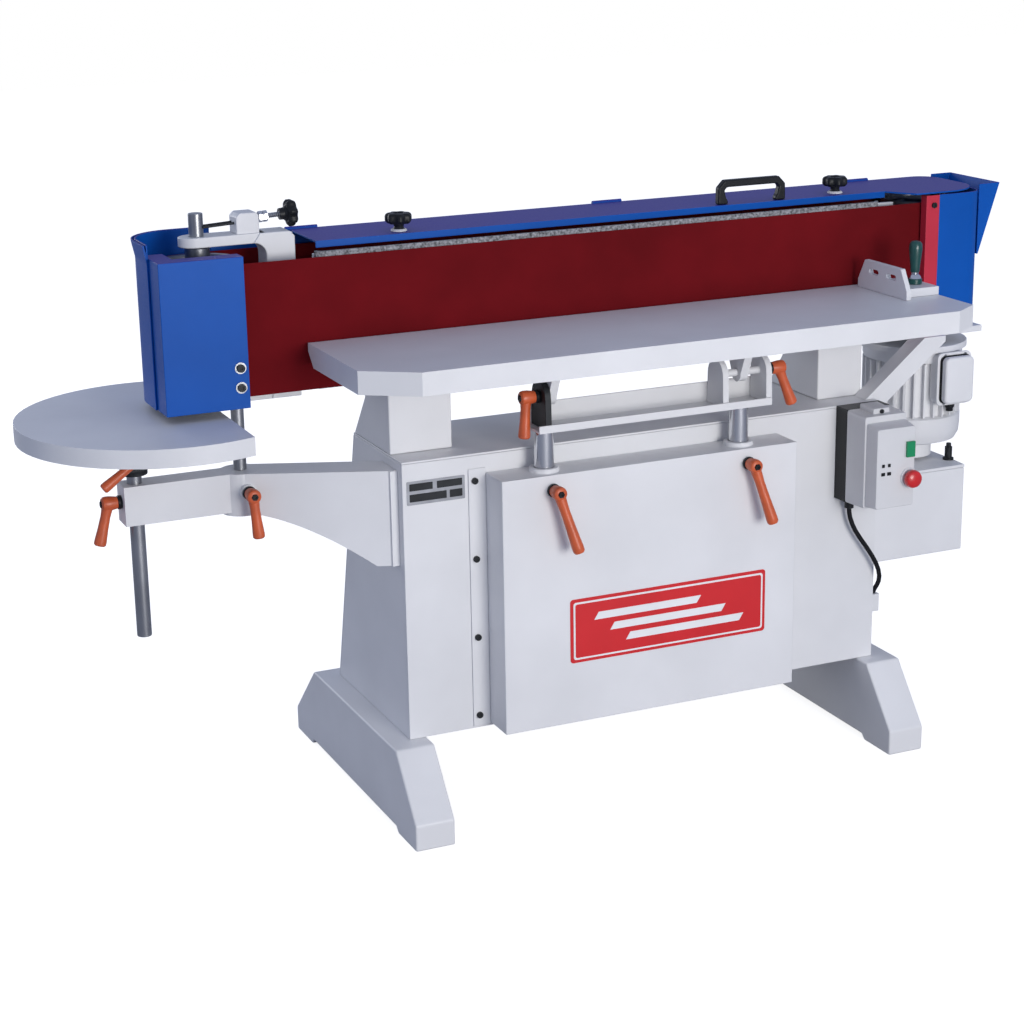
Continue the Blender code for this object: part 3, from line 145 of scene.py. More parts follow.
# finishes
def newShaderGroup(name, inputs, outputs):
    tree = bpy.data.node_groups.new(name, "ShaderNodeTree")
    for label, low in inputs:
        socket = tree.interface.new_socket(label, in_out="INPUT", socket_type="NodeSocketFloat")
        socket.default_value = low
    for label in outputs:
        tree.interface.new_socket(label, in_out="OUTPUT", socket_type="NodeSocketFloat")
    return tree, tree.nodes.new("NodeGroupInput"), tree.nodes.new("NodeGroupOutput")


# soft tone drift and fine grain, read on Object coordinates
toneGroup, toneIn, toneOut = newShaderGroup(
    "surfaceTone", [("Patch Scale", 6.0), ("Grain Scale", 400.0)], ["Patch", "Grain"])
toneCoord = toneGroup.nodes.new("ShaderNodeTexCoord")
tonePatch = toneGroup.nodes.new("ShaderNodeTexNoise")
toneGrain = toneGroup.nodes.new("ShaderNodeTexNoise")
tonePatch.inputs["Detail"].default_value = 3.0
toneGrain.inputs["Detail"].default_value = 2.0
for noise, scale in ((tonePatch, "Patch Scale"), (toneGrain, "Grain Scale")):
    toneGroup.links.new(toneCoord.outputs["Object"], noise.inputs["Vector"])
    toneGroup.links.new(toneIn.outputs[scale], noise.inputs["Scale"])
toneGroup.links.new(tonePatch.outputs["Fac"], toneOut.inputs["Patch"])
toneGroup.links.new(toneGrain.outputs["Fac"], toneOut.inputs["Grain"])

finishes = dict(
    stand_enamel=dict(colour=(0.765, 0.765, 0.775), rough=0.45, patch=5.0, grain=170.0, drift=0.05,
                      bump=0.05, coat=0.05),
    # guard_blue's upper colour is painted light, a violet tint for the light that falls on faces that look up
    guard_blue=dict(colour=(0.002, 0.088, 0.42), upper=(0.055, 0.045, 0.33), shine=0.16, rough=0.42,
                    patch=6.0, grain=260.0, drift=0.08, bump=0.05),
    entry_red=dict(colour=(0.55, 0.028, 0.055), rough=0.4, shine=0.3, patch=9.0, grain=260.0, drift=0.08,
                   bump=0.05, coat=0.15),
    belt_cloth=dict(colour=(0.150, 0.0045, 0.0075), rough=0.9, shine=0.12, patch=7.0, grain=1500.0, drift=0.16,
                    bump=0.35),
    graphite_pad=dict(colour=(0.23, 0.23, 0.24), rough=0.8, patch=240.0, grain=900.0, drift=0.75,
                      bump=0.5),
    lever_orange=dict(colour=(0.60, 0.105, 0.03), rough=0.42, patch=30.0, grain=600.0, drift=0.12,
                      bump=0.08, coat=0.1),
    black_plastic=dict(colour=(0.009, 0.010, 0.012), rough=0.42, shine=0.28, patch=30.0, grain=900.0, drift=0.2,
                       bump=0.1),
    handle_teal=dict(colour=(0.006, 0.062, 0.055), rough=0.3, patch=30.0, grain=600.0, drift=0.1,
                     bump=0.04, coat=0.3),
    chrome=dict(colour=(0.66, 0.67, 0.70), rough=0.14, metal=1.0, patch=8.0, grain=300.0, drift=0.05, bump=0.01),
    grey_steel=dict(colour=(0.36, 0.37, 0.39), rough=0.34, metal=1.0, patch=14.0, grain=500.0, drift=0.14,
                    bump=0.06),
    black_steel=dict(colour=(0.022, 0.024, 0.027), rough=0.48, metal=0.6, patch=20.0, grain=500.0, drift=0.2,
                     bump=0.1),
    start_green=dict(colour=(0.0, 0.25, 0.09), rough=0.35, patch=40.0, grain=600.0, drift=0.06,
                     bump=0.02, coat=0.2),
    stop_red=dict(colour=(0.58, 0.012, 0.014), rough=0.3, patch=40.0, grain=600.0, drift=0.06,
                  bump=0.02, coat=0.3),
    cord_black=dict(colour=(0.007, 0.007, 0.009), rough=0.6, shine=0.2, patch=30.0, grain=900.0, drift=0.15,
                    bump=0.12),
    badgeRed=dict(colour=(0.66, 0.012, 0.016), rough=0.35, patch=12.0, grain=700.0, drift=0.04,
                  bump=0.01, coat=0.3),
    badgeWhite=dict(colour=(0.86, 0.86, 0.86), rough=0.4, patch=12.0, grain=700.0, drift=0.02,
                    bump=0.01, coat=0.2),
    plateSilver=dict(colour=(0.34, 0.35, 0.38), rough=0.35, metal=0.8, patch=40.0, grain=800.0, drift=0.15,
                     bump=0.03),
    starterGrey=dict(colour=(0.66, 0.66, 0.67), rough=0.45, patch=12.0, grain=800.0, drift=0.03,
                     bump=0.04, coat=0.05),
)
paints = {}


def paint(name):
    if name in paints:
        return paints[name]
    facts = finishes[name]
    material = bpy.data.materials.new(name)
    material.use_nodes = True
    tree = material.node_tree
    shader = tree.nodes["Principled BSDF"]
    shader.inputs["Metallic"].default_value = facts.get("metal", 0.0)
    shader.inputs["Specular IOR Level"].default_value = facts.get("shine", 0.5)
    shader.inputs["Coat Weight"].default_value = facts.get("coat", 0.0)
    shader.inputs["Coat Roughness"].default_value = 0.2
    tone = tree.nodes.new("ShaderNodeGroup")
    tone.node_tree = toneGroup
    tone.inputs["Patch Scale"].default_value = facts["patch"]
    tone.inputs["Grain Scale"].default_value = facts["grain"]
    mix = tree.nodes.new("ShaderNodeMix")
    mix.data_type = "RGBA"
    dark = [channel * (1.0 - facts["drift"]) for channel in facts["colour"]]
    light = [min(1.0, channel * (1.0 + facts["drift"])) for channel in facts["colour"]]
    mix.inputs["A"].default_value = (*dark, 1.0)
    mix.inputs["B"].default_value = (*light, 1.0)
    spread = tree.nodes.new("ShaderNodeMapRange")
    spread.inputs["From Min"].default_value = 0.3
    spread.inputs["From Max"].default_value = 0.7
    tree.links.new(tone.outputs["Patch"], spread.inputs["Value"])
    tree.links.new(spread.outputs["Result"], mix.inputs["Factor"])
    if "upper" in facts:
        # painted light: faces that look up take a violet tint that stands in for the light falling on them
        facing = tree.nodes.new("ShaderNodeTexCoord")
        parts = tree.nodes.new("ShaderNodeSeparateXYZ")
        share = tree.nodes.new("ShaderNodeMapRange")
        share.inputs["From Min"].default_value = 0.3
        share.inputs["From Max"].default_value = 0.9
        paintedTopLight = tree.nodes.new("ShaderNodeMix")
        paintedTopLight.data_type = "RGBA"
        paintedTopLight.inputs["B"].default_value = (*facts["upper"], 1.0)
        tree.links.new(facing.outputs["Normal"], parts.inputs[0])
        tree.links.new(parts.outputs["Z"], share.inputs["Value"])
        tree.links.new(share.outputs["Result"], paintedTopLight.inputs["Factor"])
        tree.links.new(mix.outputs["Result"], paintedTopLight.inputs["A"])
        tree.links.new(paintedTopLight.outputs["Result"], shader.inputs["Base Color"])
    else:
        tree.links.new(mix.outputs["Result"], shader.inputs["Base Color"])
    gloss = tree.nodes.new("ShaderNodeMapRange")
    gloss.inputs["To Min"].default_value = facts["rough"] - 0.06
    gloss.inputs["To Max"].default_value = facts["rough"] + 0.08
    tree.links.new(tone.outputs["Grain"], gloss.inputs["Value"])
    tree.links.new(gloss.outputs["Result"], shader.inputs["Roughness"])
    bump = tree.nodes.new("ShaderNodeBump")
    bump.inputs["Strength"].default_value = facts["bump"]
    bump.inputs["Distance"].default_value = 0.001
    tree.links.new(tone.outputs["Grain"], bump.inputs["Height"])
    tree.links.new(bump.outputs["Normal"], shader.inputs["Normal"])
    paints[name] = material
    return material


# making pieces
def keep(name, mesh, body, finish, covers=()):
    mesh.materials.clear()
    mesh.materials.append(paint(finish))
    piece = bpy.data.objects.new(name, mesh)
    bpy.context.scene.collection.objects.link(piece)
    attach(piece, body)
    if covers:
        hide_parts(*covers)
    return piece


def smoothed(mesh, angle=35):
    mesh.shade_smooth()
    mesh.set_sharp_from_angle(angle=math.radians(angle))


def camelName(node):
    words = node.split("_")
    return words[0] + "".join(word.capitalize() for word in words[1:])


def meshFrom(shape, name, angle=30):
    mesh = bpy.data.meshes.new(name)
    shape.to_mesh(mesh)
    shape.free()
    smoothed(mesh, angle)
    return mesh


def bridge(shape, rings, closed=False):
    # faces from each ring of points to the next, and a cap on both ends unless the last meets the first
    following = rings[1:] + rings[:1] if closed else rings[1:]
    for first, second in zip(rings, following):
        for i in range(len(first)):
            k = (i + 1) % len(first)
            shape.faces.new((first[i], first[k], second[k], second[i]))
    if not closed:
        shape.faces.new(rings[0])
        shape.faces.new(rings[-1])
    bmesh.ops.recalc_face_normals(shape, faces=shape.faces)


def stand(shape, place, direction):
    turn = Vector((0, 0, 1)).rotation_difference(Vector(direction)).to_matrix().to_4x4()
    shape.transform(Matrix.Translation(place) @ turn)


def soften(piece, width, segments=2, angle=30):
    bevel = piece.modifiers.new("roundEdges", "BEVEL")
    bevel.width = width
    bevel.segments = segments
    bevel.limit_method = "ANGLE"
    bevel.angle_limit = math.radians(angle)
    bevel.harden_normals = True


def rounded(node, width, angle=32):
    # the CAD solid with its flat faces made whole and its edges rounded
    shape = bmesh.new()
    shape.from_mesh(nodes[node].data)
    bmesh.ops.remove_doubles(shape, verts=shape.verts, dist=0.00002)
    bmesh.ops.dissolve_limit(shape, angle_limit=math.radians(0.6), verts=shape.verts, edges=shape.edges)
    mesh = meshFrom(shape, camelName(node), angle)
    piece = keep(camelName(node), mesh, bodyOfNode[node], slotOfNode[node], covers=[node])
    soften(piece, width, angle=angle)


def turnedMesh(name, profile, place, direction=(0, 0, 1), steps=32):
    shape = bmesh.new()
    verts = [shape.verts.new((radius, 0.0, height)) for radius, height in profile]
    edges = [shape.edges.new(pair) for pair in zip(verts, verts[1:])]
    bmesh.ops.spin(shape, geom=verts + edges, axis=(0, 0, 1), cent=(0, 0, 0), steps=steps,
                   angle=2 * math.pi, use_merge=True)
    bmesh.ops.remove_doubles(shape, verts=shape.verts, dist=0.00001)
    bmesh.ops.recalc_face_normals(shape, faces=shape.faces)
    stand(shape, place, direction)
    return meshFrom(shape, name)


def plateMesh(name, outline, thickness, place, across=(1, 0, 0), along=(0, 0, 1)):
    # a flat outline in two directions, given a thickness along their cross product
    shape = bmesh.new()
    across, along = Vector(across), Vector(along)
    face = shape.faces.new([shape.verts.new(place + across * a + along * b) for a, b in outline])
    grown = bmesh.ops.extrude_face_region(shape, geom=[face])
    moved = [item for item in grown["geom"] if isinstance(item, bmesh.types.BMVert)]
    bmesh.ops.translate(shape, verts=moved, vec=across.cross(along) * thickness)
    bmesh.ops.recalc_face_normals(shape, faces=shape.faces)
    return meshFrom(shape, name)


def roundedRect(left, bottom, right, top, radius, steps=5):
    points = []
    for cx, cy, start in ((right - radius, top - radius, 0), (left + radius, top - radius, 90),
                          (left + radius, bottom + radius, 180), (right - radius, bottom + radius, 270)):
        for i in range(steps + 1):
            angle = math.radians(start + 90 * i / steps)
            points.append((cx + radius * math.cos(angle), cy + radius * math.sin(angle)))
    return points


def tubeMesh(name, points, radii, sides=12):
    # a round bar through some points, with its own radius at each of them
    shape = bmesh.new()
    rings = []
    for i, point in enumerate(points):
        ahead = points[min(i + 1, len(points) - 1)] - points[max(i - 1, 0)]
        turn = Vector((0, 0, 1)).rotation_difference(ahead).to_matrix()
        ring = [shape.verts.new(point + turn @ Vector((radii[i] * math.cos(2 * math.pi * k / sides),
                                                       radii[i] * math.sin(2 * math.pi * k / sides), 0)))
                for k in range(sides)]
        rings.append(ring)
    bridge(shape, rings)
    return meshFrom(shape, name, 40)


def joined(name, meshes):
    shape = bmesh.new()
    for mesh in meshes:
        shape.from_mesh(mesh)
        bpy.data.meshes.remove(mesh)
    return meshFrom(shape, name, 32)


# repeated pieces, made by Geometry Nodes
def newTree(name, sockets):
    tree = bpy.data.node_groups.new(name, "GeometryNodeTree")
    keys = {}
    for label, kind in sockets:
        socket = tree.interface.new_socket(label, in_out="INPUT", socket_type="NodeSocket" + kind)
        keys[label] = socket.identifier
    tree.interface.new_socket("Geometry", in_out="OUTPUT", socket_type="NodeSocketGeometry")
    return tree, keys, tree.nodes.new("NodeGroupInput"), tree.nodes.new("NodeGroupOutput")


def grown(name, tree, keys, values):
    # the tree's result as a plain mesh
    maker = bpy.data.objects.new(name + "Maker", bpy.data.meshes.new(name + "Maker"))
    bpy.context.scene.collection.objects.link(maker)
    modifier = maker.modifiers.new("grow", "NODES")
    modifier.node_group = tree
    for label, value in values.items():
        modifier[keys[label]] = value
    depsgraph = bpy.context.evaluated_depsgraph_get()
    mesh = bpy.data.meshes.new_from_object(maker.evaluated_get(depsgraph))
    mesh.name = name
    maker.modifiers.remove(modifier)
    bpy.data.objects.remove(maker)
    smoothed(mesh, 30)
    return mesh


def multiplied(tree, source, factor):
    product = tree.nodes.new("ShaderNodeMath")
    product.operation = "MULTIPLY"
    product.inputs[1].default_value = factor
    tree.links.new(source, product.inputs[0])
    return product.outputs[0]


def endTree(tree, copies, treeIn, treeOut):
    # the copies as real geometry, in their material
    real = tree.nodes.new("GeometryNodeRealizeInstances")
    tree.links.new(copies, real.inputs["Geometry"])
    coated = tree.nodes.new("GeometryNodeSetMaterial")
    tree.links.new(real.outputs["Geometry"], coated.inputs["Geometry"])
    tree.links.new(treeIn.outputs["Material"], coated.inputs["Material"])
    tree.links.new(coated.outputs["Geometry"], treeOut.inputs["Geometry"])


# a row of cap screws: a head with a hexagon socket, on a line of points
screwTree, screwKeys, screwIn, screwOut = newTree("screwRow", [
    ("Count", "Int"), ("Start", "Vector"), ("Step", "Vector"), ("Turn", "Vector"), ("Radius", "Float"),
    ("Height", "Float"), ("Material", "Material")])
screwNodes, screwLinks = screwTree.nodes, screwTree.links
screwLine = screwNodes.new("GeometryNodeMeshLine")
screwLinks.new(screwIn.outputs["Count"], screwLine.inputs["Count"])
screwLinks.new(screwIn.outputs["Start"], screwLine.inputs["Start Location"])
screwLinks.new(screwIn.outputs["Step"], screwLine.inputs["Offset"])
screwHead = screwNodes.new("GeometryNodeMeshCylinder")
screwHead.inputs["Vertices"].default_value = 20
screwLinks.new(screwIn.outputs["Radius"], screwHead.inputs["Radius"])
screwLinks.new(screwIn.outputs["Height"], screwHead.inputs["Depth"])
screwSocket = screwNodes.new("GeometryNodeMeshCylinder")
screwSocket.inputs["Vertices"].default_value = 6
screwLinks.new(multiplied(screwTree, screwIn.outputs["Radius"], 0.5), screwSocket.inputs["Radius"])
screwLinks.new(screwIn.outputs["Height"], screwSocket.inputs["Depth"])
socketLift = screwNodes.new("GeometryNodeTransform")
socketPlace = screwNodes.new("ShaderNodeCombineXYZ")
screwLinks.new(multiplied(screwTree, screwIn.outputs["Height"], 0.6), socketPlace.inputs[2])
screwLinks.new(socketPlace.outputs[0], socketLift.inputs["Translation"])
screwLinks.new(screwSocket.outputs["Mesh"], socketLift.inputs["Geometry"])
screwCut = screwNodes.new("GeometryNodeMeshBoolean")
screwCut.operation = "DIFFERENCE"
screwLinks.new(screwHead.outputs["Mesh"], screwCut.inputs["Mesh 1"])
screwLinks.new(socketLift.outputs["Geometry"], screwCut.inputs["Mesh 2"])
screwCopies = screwNodes.new("GeometryNodeInstanceOnPoints")
screwLinks.new(screwLine.outputs["Mesh"], screwCopies.inputs["Points"])
screwLinks.new(screwCut.outputs["Mesh"], screwCopies.inputs["Instance"])
screwLinks.new(screwIn.outputs["Turn"], screwCopies.inputs["Rotation"])
endTree(screwTree, screwCopies.outputs["Instances"], screwIn, screwOut)

turnTo = {"-y": (math.pi / 2, 0, 0), "+y": (-math.pi / 2, 0, 0), "+z": (0, 0, 0)}


def screwRow(name, body, start, facing, count=1, step=(0, 0, 0), radius=0.006, height=0.004,
             finish="grey_steel"):
    mesh = grown(name, screwTree, screwKeys, {
        "Count": count, "Start": start, "Step": Vector(step), "Turn": Vector(turnTo[facing]),
        "Radius": radius, "Height": height, "Material": paint(finish)})
    return keep(name, mesh, body, finish)


# a ring of upright blades round an axis: the motor's fins
finTree, finKeys, finIn, finOut = newTree("bladeRing", [
    ("Count", "Int"), ("Radius", "Float"), ("Blade", "Vector"), ("Centre", "Vector"), ("Material", "Material")])
finNodes, finLinks = finTree.nodes, finTree.links
finCircle = finNodes.new("GeometryNodeMeshCircle")
finLinks.new(finIn.outputs["Count"], finCircle.inputs["Vertices"])
finLinks.new(finIn.outputs["Radius"], finCircle.inputs["Radius"])
finBlade = finNodes.new("GeometryNodeMeshCube")
finLinks.new(finIn.outputs["Blade"], finBlade.inputs["Size"])
finIndex = finNodes.new("GeometryNodeInputIndex")
finShare = finNodes.new("ShaderNodeMath")
finShare.operation = "DIVIDE"
finLinks.new(finIndex.outputs[0], finShare.inputs[0])
finLinks.new(finIn.outputs["Count"], finShare.inputs[1])
finTurn = finNodes.new("ShaderNodeCombineXYZ")
finLinks.new(multiplied(finTree, finShare.outputs[0], 2 * math.pi), finTurn.inputs[2])
finCopies = finNodes.new("GeometryNodeInstanceOnPoints")
finLinks.new(finCircle.outputs["Mesh"], finCopies.inputs["Points"])
finLinks.new(finBlade.outputs["Mesh"], finCopies.inputs["Instance"])
finLinks.new(finTurn.outputs[0], finCopies.inputs["Rotation"])
finMove = finNodes.new("GeometryNodeTransform")
finLinks.new(finCopies.outputs["Instances"], finMove.inputs["Geometry"])
finLinks.new(finIn.outputs["Centre"], finMove.inputs["Translation"])
endTree(finTree, finMove.outputs["Geometry"], finIn, finOut)


def bladeRing(name, body, centre, radius, count, blade, finish):
    mesh = grown(name, finTree, finKeys, {"Count": count, "Radius": radius, "Blade": Vector(blade),
                                          "Centre": Vector(centre), "Material": paint(finish)})
    return keep(name, mesh, body, finish)


# cord first: it leaves the starter's gland and goes into the cabinet's side
cordRoute = [
    (0.905, -0.020, 0.4807), (0.9055, -0.020, 0.472), (0.908, -0.020, 0.460), (0.913, -0.0205, 0.447),
    (0.920, -0.021, 0.433), (0.929, -0.022, 0.419), (0.939, -0.023, 0.405), (0.949, -0.0235, 0.391),
    (0.959, -0.0235, 0.376), (0.968, -0.023, 0.361), (0.976, -0.020, 0.346), (0.982, -0.015, 0.331),
    (0.986, -0.0075, 0.3175), (0.9875, 0.001, 0.306), (0.988, 0.009, 0.2965), (0.988, 0.014, 0.288),
]


def makeCord():
    cordFacts = dict(radius=0.0045, sides=6)
    curve = bpy.data.curves.new("switchCord", "CURVE")
    curve.dimensions = "3D"
    curve.bevel_depth = cordFacts["radius"]
    curve.bevel_resolution = cordFacts["sides"]
    curve.use_fill_caps = True
    spline = curve.splines.new("POLY")
    spline.points.add(len(cordRoute) - 1)
    route = [at(*place) for place in cordRoute]
    for point, place in zip(spline.points, route):
        point.co = (*place, 1.0)
    curve.materials.append(paint("cord_black"))
    cord = bpy.data.objects.new("switchCord", curve)
    bpy.context.scene.collection.objects.link(cord)
    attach(cord, "root")
    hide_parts("switch_cord")


makeCord()


# painted plates and castings: the CAD solids with rounded edges
edgeWidths = dict(
    left_foot=0.004, right_foot=0.004, cabinet_front=0.001, cabinet_left_side=0.001, cabinet_right_side=0.001,
    cabinet_rear_panel=0.001, cabinet_top_plate=0.0012, lift_box=0.003, left_pedestal=0.003, right_pedestal=0.003,
    cradle_rail=0.0012, right_bracket=0.002, left_trunnion=0.0015, main_table=0.003, stop_fence=0.001,
    beam=0.001, platen=0.0015, end_arm=0.004, end_table=0.003, motor_bracket=0.001,
    gear_housing=0.003, gear_housing_cover=0.0015, left_guard=0.001, left_hood=0.001, right_guard=0.001,
    right_hood=0.001, rear_guard=0.001, entry_guard=0.001, top_cover=0.001, starter_back=0.003,
    start_button=0.001, end_trunnion=0.001, eccentric_wheel=0.001, idler_shaft=0.001, end_post=0.0015,
    steady_post=0.0008, left_column=0.0015, right_column=0.0015,
)
for node, width in edgeWidths.items():
    rounded(node, width)
print("plates and castings done")


# belt and drums
def loopOutline(radius, steps=48):
    idler, drive = beltEnds
    points = []
    for centre, start in ((idler, 90), (drive, 270)):
        for i in range(steps + 1):
            angle = math.radians(start + 180 * i / steps)
            points.append((centre.x + radius * math.cos(angle), centre.y + radius * math.sin(angle)))
    return points


def boxMiddle(node):
    low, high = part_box(node)
    return (low + high) / 2


beltEnds = (boxMiddle("idler_drum"), boxMiddle("drive_drum"))
belt = dict(thickness=0.0015, edge=0.001)


def makeBelt():
    low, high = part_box("sanding_belt")
    outerRadius = (high.y - low.y) / 2
    shape = bmesh.new()
    levels = [low.z, low.z + belt["edge"], high.z - belt["edge"], high.z]
    outer = loopOutline(outerRadius)
    inner = loopOutline(outerRadius - belt["thickness"])
    rings = [[shape.verts.new((x, y, z)) for x, y in outer] for z in levels]
    rings += [[shape.verts.new((x, y, z)) for x, y in inner] for z in reversed(levels)]
    bridge(shape, rings, closed=True)
    keep("sandingBelt", meshFrom(shape, "sandingBelt"), "oscillating_unit", "belt_cloth",
         covers=["sanding_belt"])


drum = dict(dish=0.012, hub=0.026, hubFoot=0.036, rim=0.010, edge=0.001, hubSink=0.003, shaft=0.014)


def makeDrum(name, node, bore, body):
    # a rim and a hub with a dished face between them
    low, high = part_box(node)
    centre = boxMiddle(node)
    radius = (high.x - low.x) / 2
    bottom, top, dish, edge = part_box("idler_drum")[0].z, high.z, drum["dish"], drum["edge"]
    hub, hubFoot, rim, sink = drum["hub"], drum["hubFoot"], radius - drum["rim"], drum["hubSink"]
    profile = [(bore, bottom + dish), (hub, bottom + dish), (hub, bottom + sink), (hubFoot, bottom + dish),
               (rim, bottom + dish), (rim + 2 * edge, bottom + edge), (radius - edge, bottom),
               (radius, bottom + 1.5 * edge), (radius, top - 1.5 * edge), (radius - edge, top),
               (rim + 2 * edge, top - edge), (rim, top - dish), (hubFoot, top - dish), (hub, top - sink),
               (bore, top - sink)]
    if bore == 0.0:
        profile = [(0.0, low.z), (drum["shaft"], low.z), (drum["shaft"], bottom + dish)] + profile[1:]
    else:
        profile.append(profile[0])
    mesh = turnedMesh(name, profile, Vector((centre.x, centre.y, 0.0)), steps=64)
    keep(name, mesh, body, "grey_steel", covers=[node])


makeBelt()
makeDrum("idlerDrum", "idler_drum", 0.013, "idler_pulley")
makeDrum("driveDrum", "drive_drum", 0.0, "drive_pulley")
rounded("platen_pad", 0.001)
print("belt and drums done")


# clamp levers: a hub with a dark socket cap, and an arm that widens to its flat tip
levers = dict(
    leftColumnLever=dict(node="left_column_lever", hub=(0.256, -0.073, 0.615), out=(0, -1, 0),
                         tip=(0.286, -0.117, 0.507)),
    rightColumnLever=dict(node="right_column_lever", hub=(0.650, -0.073, 0.615), out=(0, -1, 0),
                          tip=(0.680, -0.117, 0.507)),
    leftTiltLever=dict(node="left_tilt_lever", hub=(0.246, -0.037, 0.778), out=(-1, 0, 0),
                       tip=(0.216, -0.041, 0.706)),
    rightTiltLever=dict(node="right_tilt_lever", hub=(0.709, -0.037, 0.778), out=(1, 0, 0),
                        tip=(0.759, -0.043, 0.708)),
    postLever=dict(node="post_lever", hub=(-0.458, 0.158, 0.629), out=(-1, 0, 0), tip=(-0.502, 0.154, 0.557)),
    armLever=dict(node="arm_lever", hub=(-0.243, 0.112, 0.629), out=(0, -1, 0), tip=(-0.237, 0.084, 0.553)),
    endTiltLever=dict(node="end_tilt_lever", hub=(-0.433, 0.130, 0.716), out=(0, -1, 0),
                      tip=(-0.501, 0.102, 0.671), scale=0.85),
)


def makeLever(name, facts):
    hub, out, tip = at(*facts["hub"]), Vector(facts["out"]), at(*facts["tip"])
    size = facts.get("scale", 1.0)
    standOff = 0.0235  # from the hub's seat to the arm's middle
    head = [(0.0, 0.0075), (0.0105, 0.0075), (0.0112, 0.011), (0.0128, 0.021), (0.0130, 0.029),
            (0.0120, 0.0330), (0.0096, 0.0350), (0.0070, 0.0355), (0.0070, 0.0346), (0.0, 0.0346)]
    start = hub + out * standOff
    reach = tip - start
    along = reach.normalized()
    length = reach.length
    places = (0.0, 0.12, 0.3, 0.6, 0.9, 0.97, 1.0)
    radii = (0.0104, 0.0098, 0.0086, 0.0093, 0.0108, 0.0106, 0.0086)
    arm = tubeMesh("arm", [start + along * (length * share) for share in places],
                   [radius * size for radius in radii], 16)
    body = joined(name, [turnedMesh("head", head, hub, out, 28), arm])
    keep(name, body, bodyOfNode[facts["node"]], "lever_orange", covers=[facts["node"]])
    ring = turnedMesh("ring", [(0.0, 0.0004), (0.0115, 0.0004), (0.0122, 0.002), (0.0122, 0.0062),
                               (0.0105, 0.0078), (0.0, 0.0078)], hub, out, 24)
    cap = turnedMesh("cap", [(0.0, 0.0344), (0.0062, 0.0344), (0.0062, 0.0362), (0.0056, 0.0372),
                             (0.0034, 0.0372), (0.0034, 0.0350), (0.0, 0.0350)], hub, out, 6)
    keep(name + "Socket", joined(name + "Socket", [ring, cap]), bodyOfNode[facts["node"]], "black_plastic")


for name, facts in levers.items():
    makeLever(name, facts)
print("levers done")


# lobed hand knobs
def lobedMesh(name, radius, low, high, place, direction, lobes=7, steps=84):
    # levels are a height and a share of the radius, and the lobes fade out in the top's dished middle
    shape = bmesh.new()
    levels = ((low, 0.80), (low + 0.002, 0.90), (low + 0.005, 1.0), (high - 0.005, 1.0), (high - 0.002, 0.93),
              (high, 0.80), (high, 0.42), (high - 0.002, 0.36))
    rings = []
    for height, share in levels:
        ring = []
        for i in range(steps):
            angle = 2 * math.pi * i / steps
            dip = 0.09 if share > 0.5 else 0.0
            reach = radius * share * (1 - dip + dip * math.cos(lobes * angle))
            ring.append(shape.verts.new((reach * math.cos(angle), reach * math.sin(angle), height)))
        rings.append(ring)
    bridge(shape, rings)
    stand(shape, place, direction)
    return meshFrom(shape, name, 40)


def makeCoverKnob(name, node, x):
    foot = at(x, 0.146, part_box(node)[0].z)
    grip = lobedMesh("grip", 0.0245, 0.0135, 0.0318, foot, (0, 0, 1))
    neck = turnedMesh("neck", [(0.0, 0.004), (0.010, 0.004), (0.0085, 0.008), (0.0095, 0.012), (0.016, 0.0145),
                               (0.0, 0.0145)], foot)
    keep(name, joined(name, [grip, neck]), bodyOfNode[node], "black_plastic", covers=[node])
    washer = turnedMesh(name + "Washer", [(0.0, 0.0002), (0.0145, 0.0002), (0.0145, 0.002), (0.012, 0.0042),
                                          (0.0, 0.0042)], foot)
    keep(name + "Washer", washer, bodyOfNode[node], "stand_enamel")


makeCoverKnob("leftCoverKnob", "left_cover_knob", 0.065)
makeCoverKnob("rightCoverKnob", "right_cover_knob", 0.960)


# the hood's rolled lip, leaning outward above the guard
hoodLip = dict(left=-0.3933, rear=0.262, corner=0.075, backEnd=-0.2460, frontEnd=0.1205, foot=1.030, crest=1.071,
               top=1.0745, lean=0.0085, sheet=0.0024)


def makeHoodLip():
    left, rear, corner, lean = hoodLip["left"], hoodLip["rear"], hoodLip["corner"], hoodLip["lean"]
    sheet, foot, crest, top = hoodLip["sheet"], hoodLip["foot"], hoodLip["crest"], hoodLip["top"]
    section = ((0.0002, foot), (lean, crest), (lean, top), (lean - sheet, top), (-sheet, foot + 0.002))
    path = [(hoodLip["backEnd"], rear, 0.0, 1.0)]
    for i in range(11):
        angle = math.radians(90 + 9 * i)
        path.append((left + corner + corner * math.cos(angle), rear - corner + corner * math.sin(angle),
                     math.cos(angle), math.sin(angle)))
    path.append((left, hoodLip["frontEnd"], -1.0, 0.0))
    shape = bmesh.new()
    bridge(shape, [[shape.verts.new(at(x + outX * out, y + outY * out, z)) for out, z in section]
                   for x, y, outX, outY in path])
    keep("hoodLip", meshFrom(shape, "hoodLip"), "root", "guard_blue")


makeHoodLip()


# tension bracket: two arms with round ends, a leg with a curved inner corner, a chamfered block
tensionBracket = dict(end=-0.330, legLeft=-0.183, legRight=-0.131, middle=0.158, halfWide=0.025, foot=0.786,
                      footTop=0.799, armFoot=1.060, top=1.077, fillet=0.022, holeX=-0.298, holeRadius=0.0130,
                      chamfer=0.009)


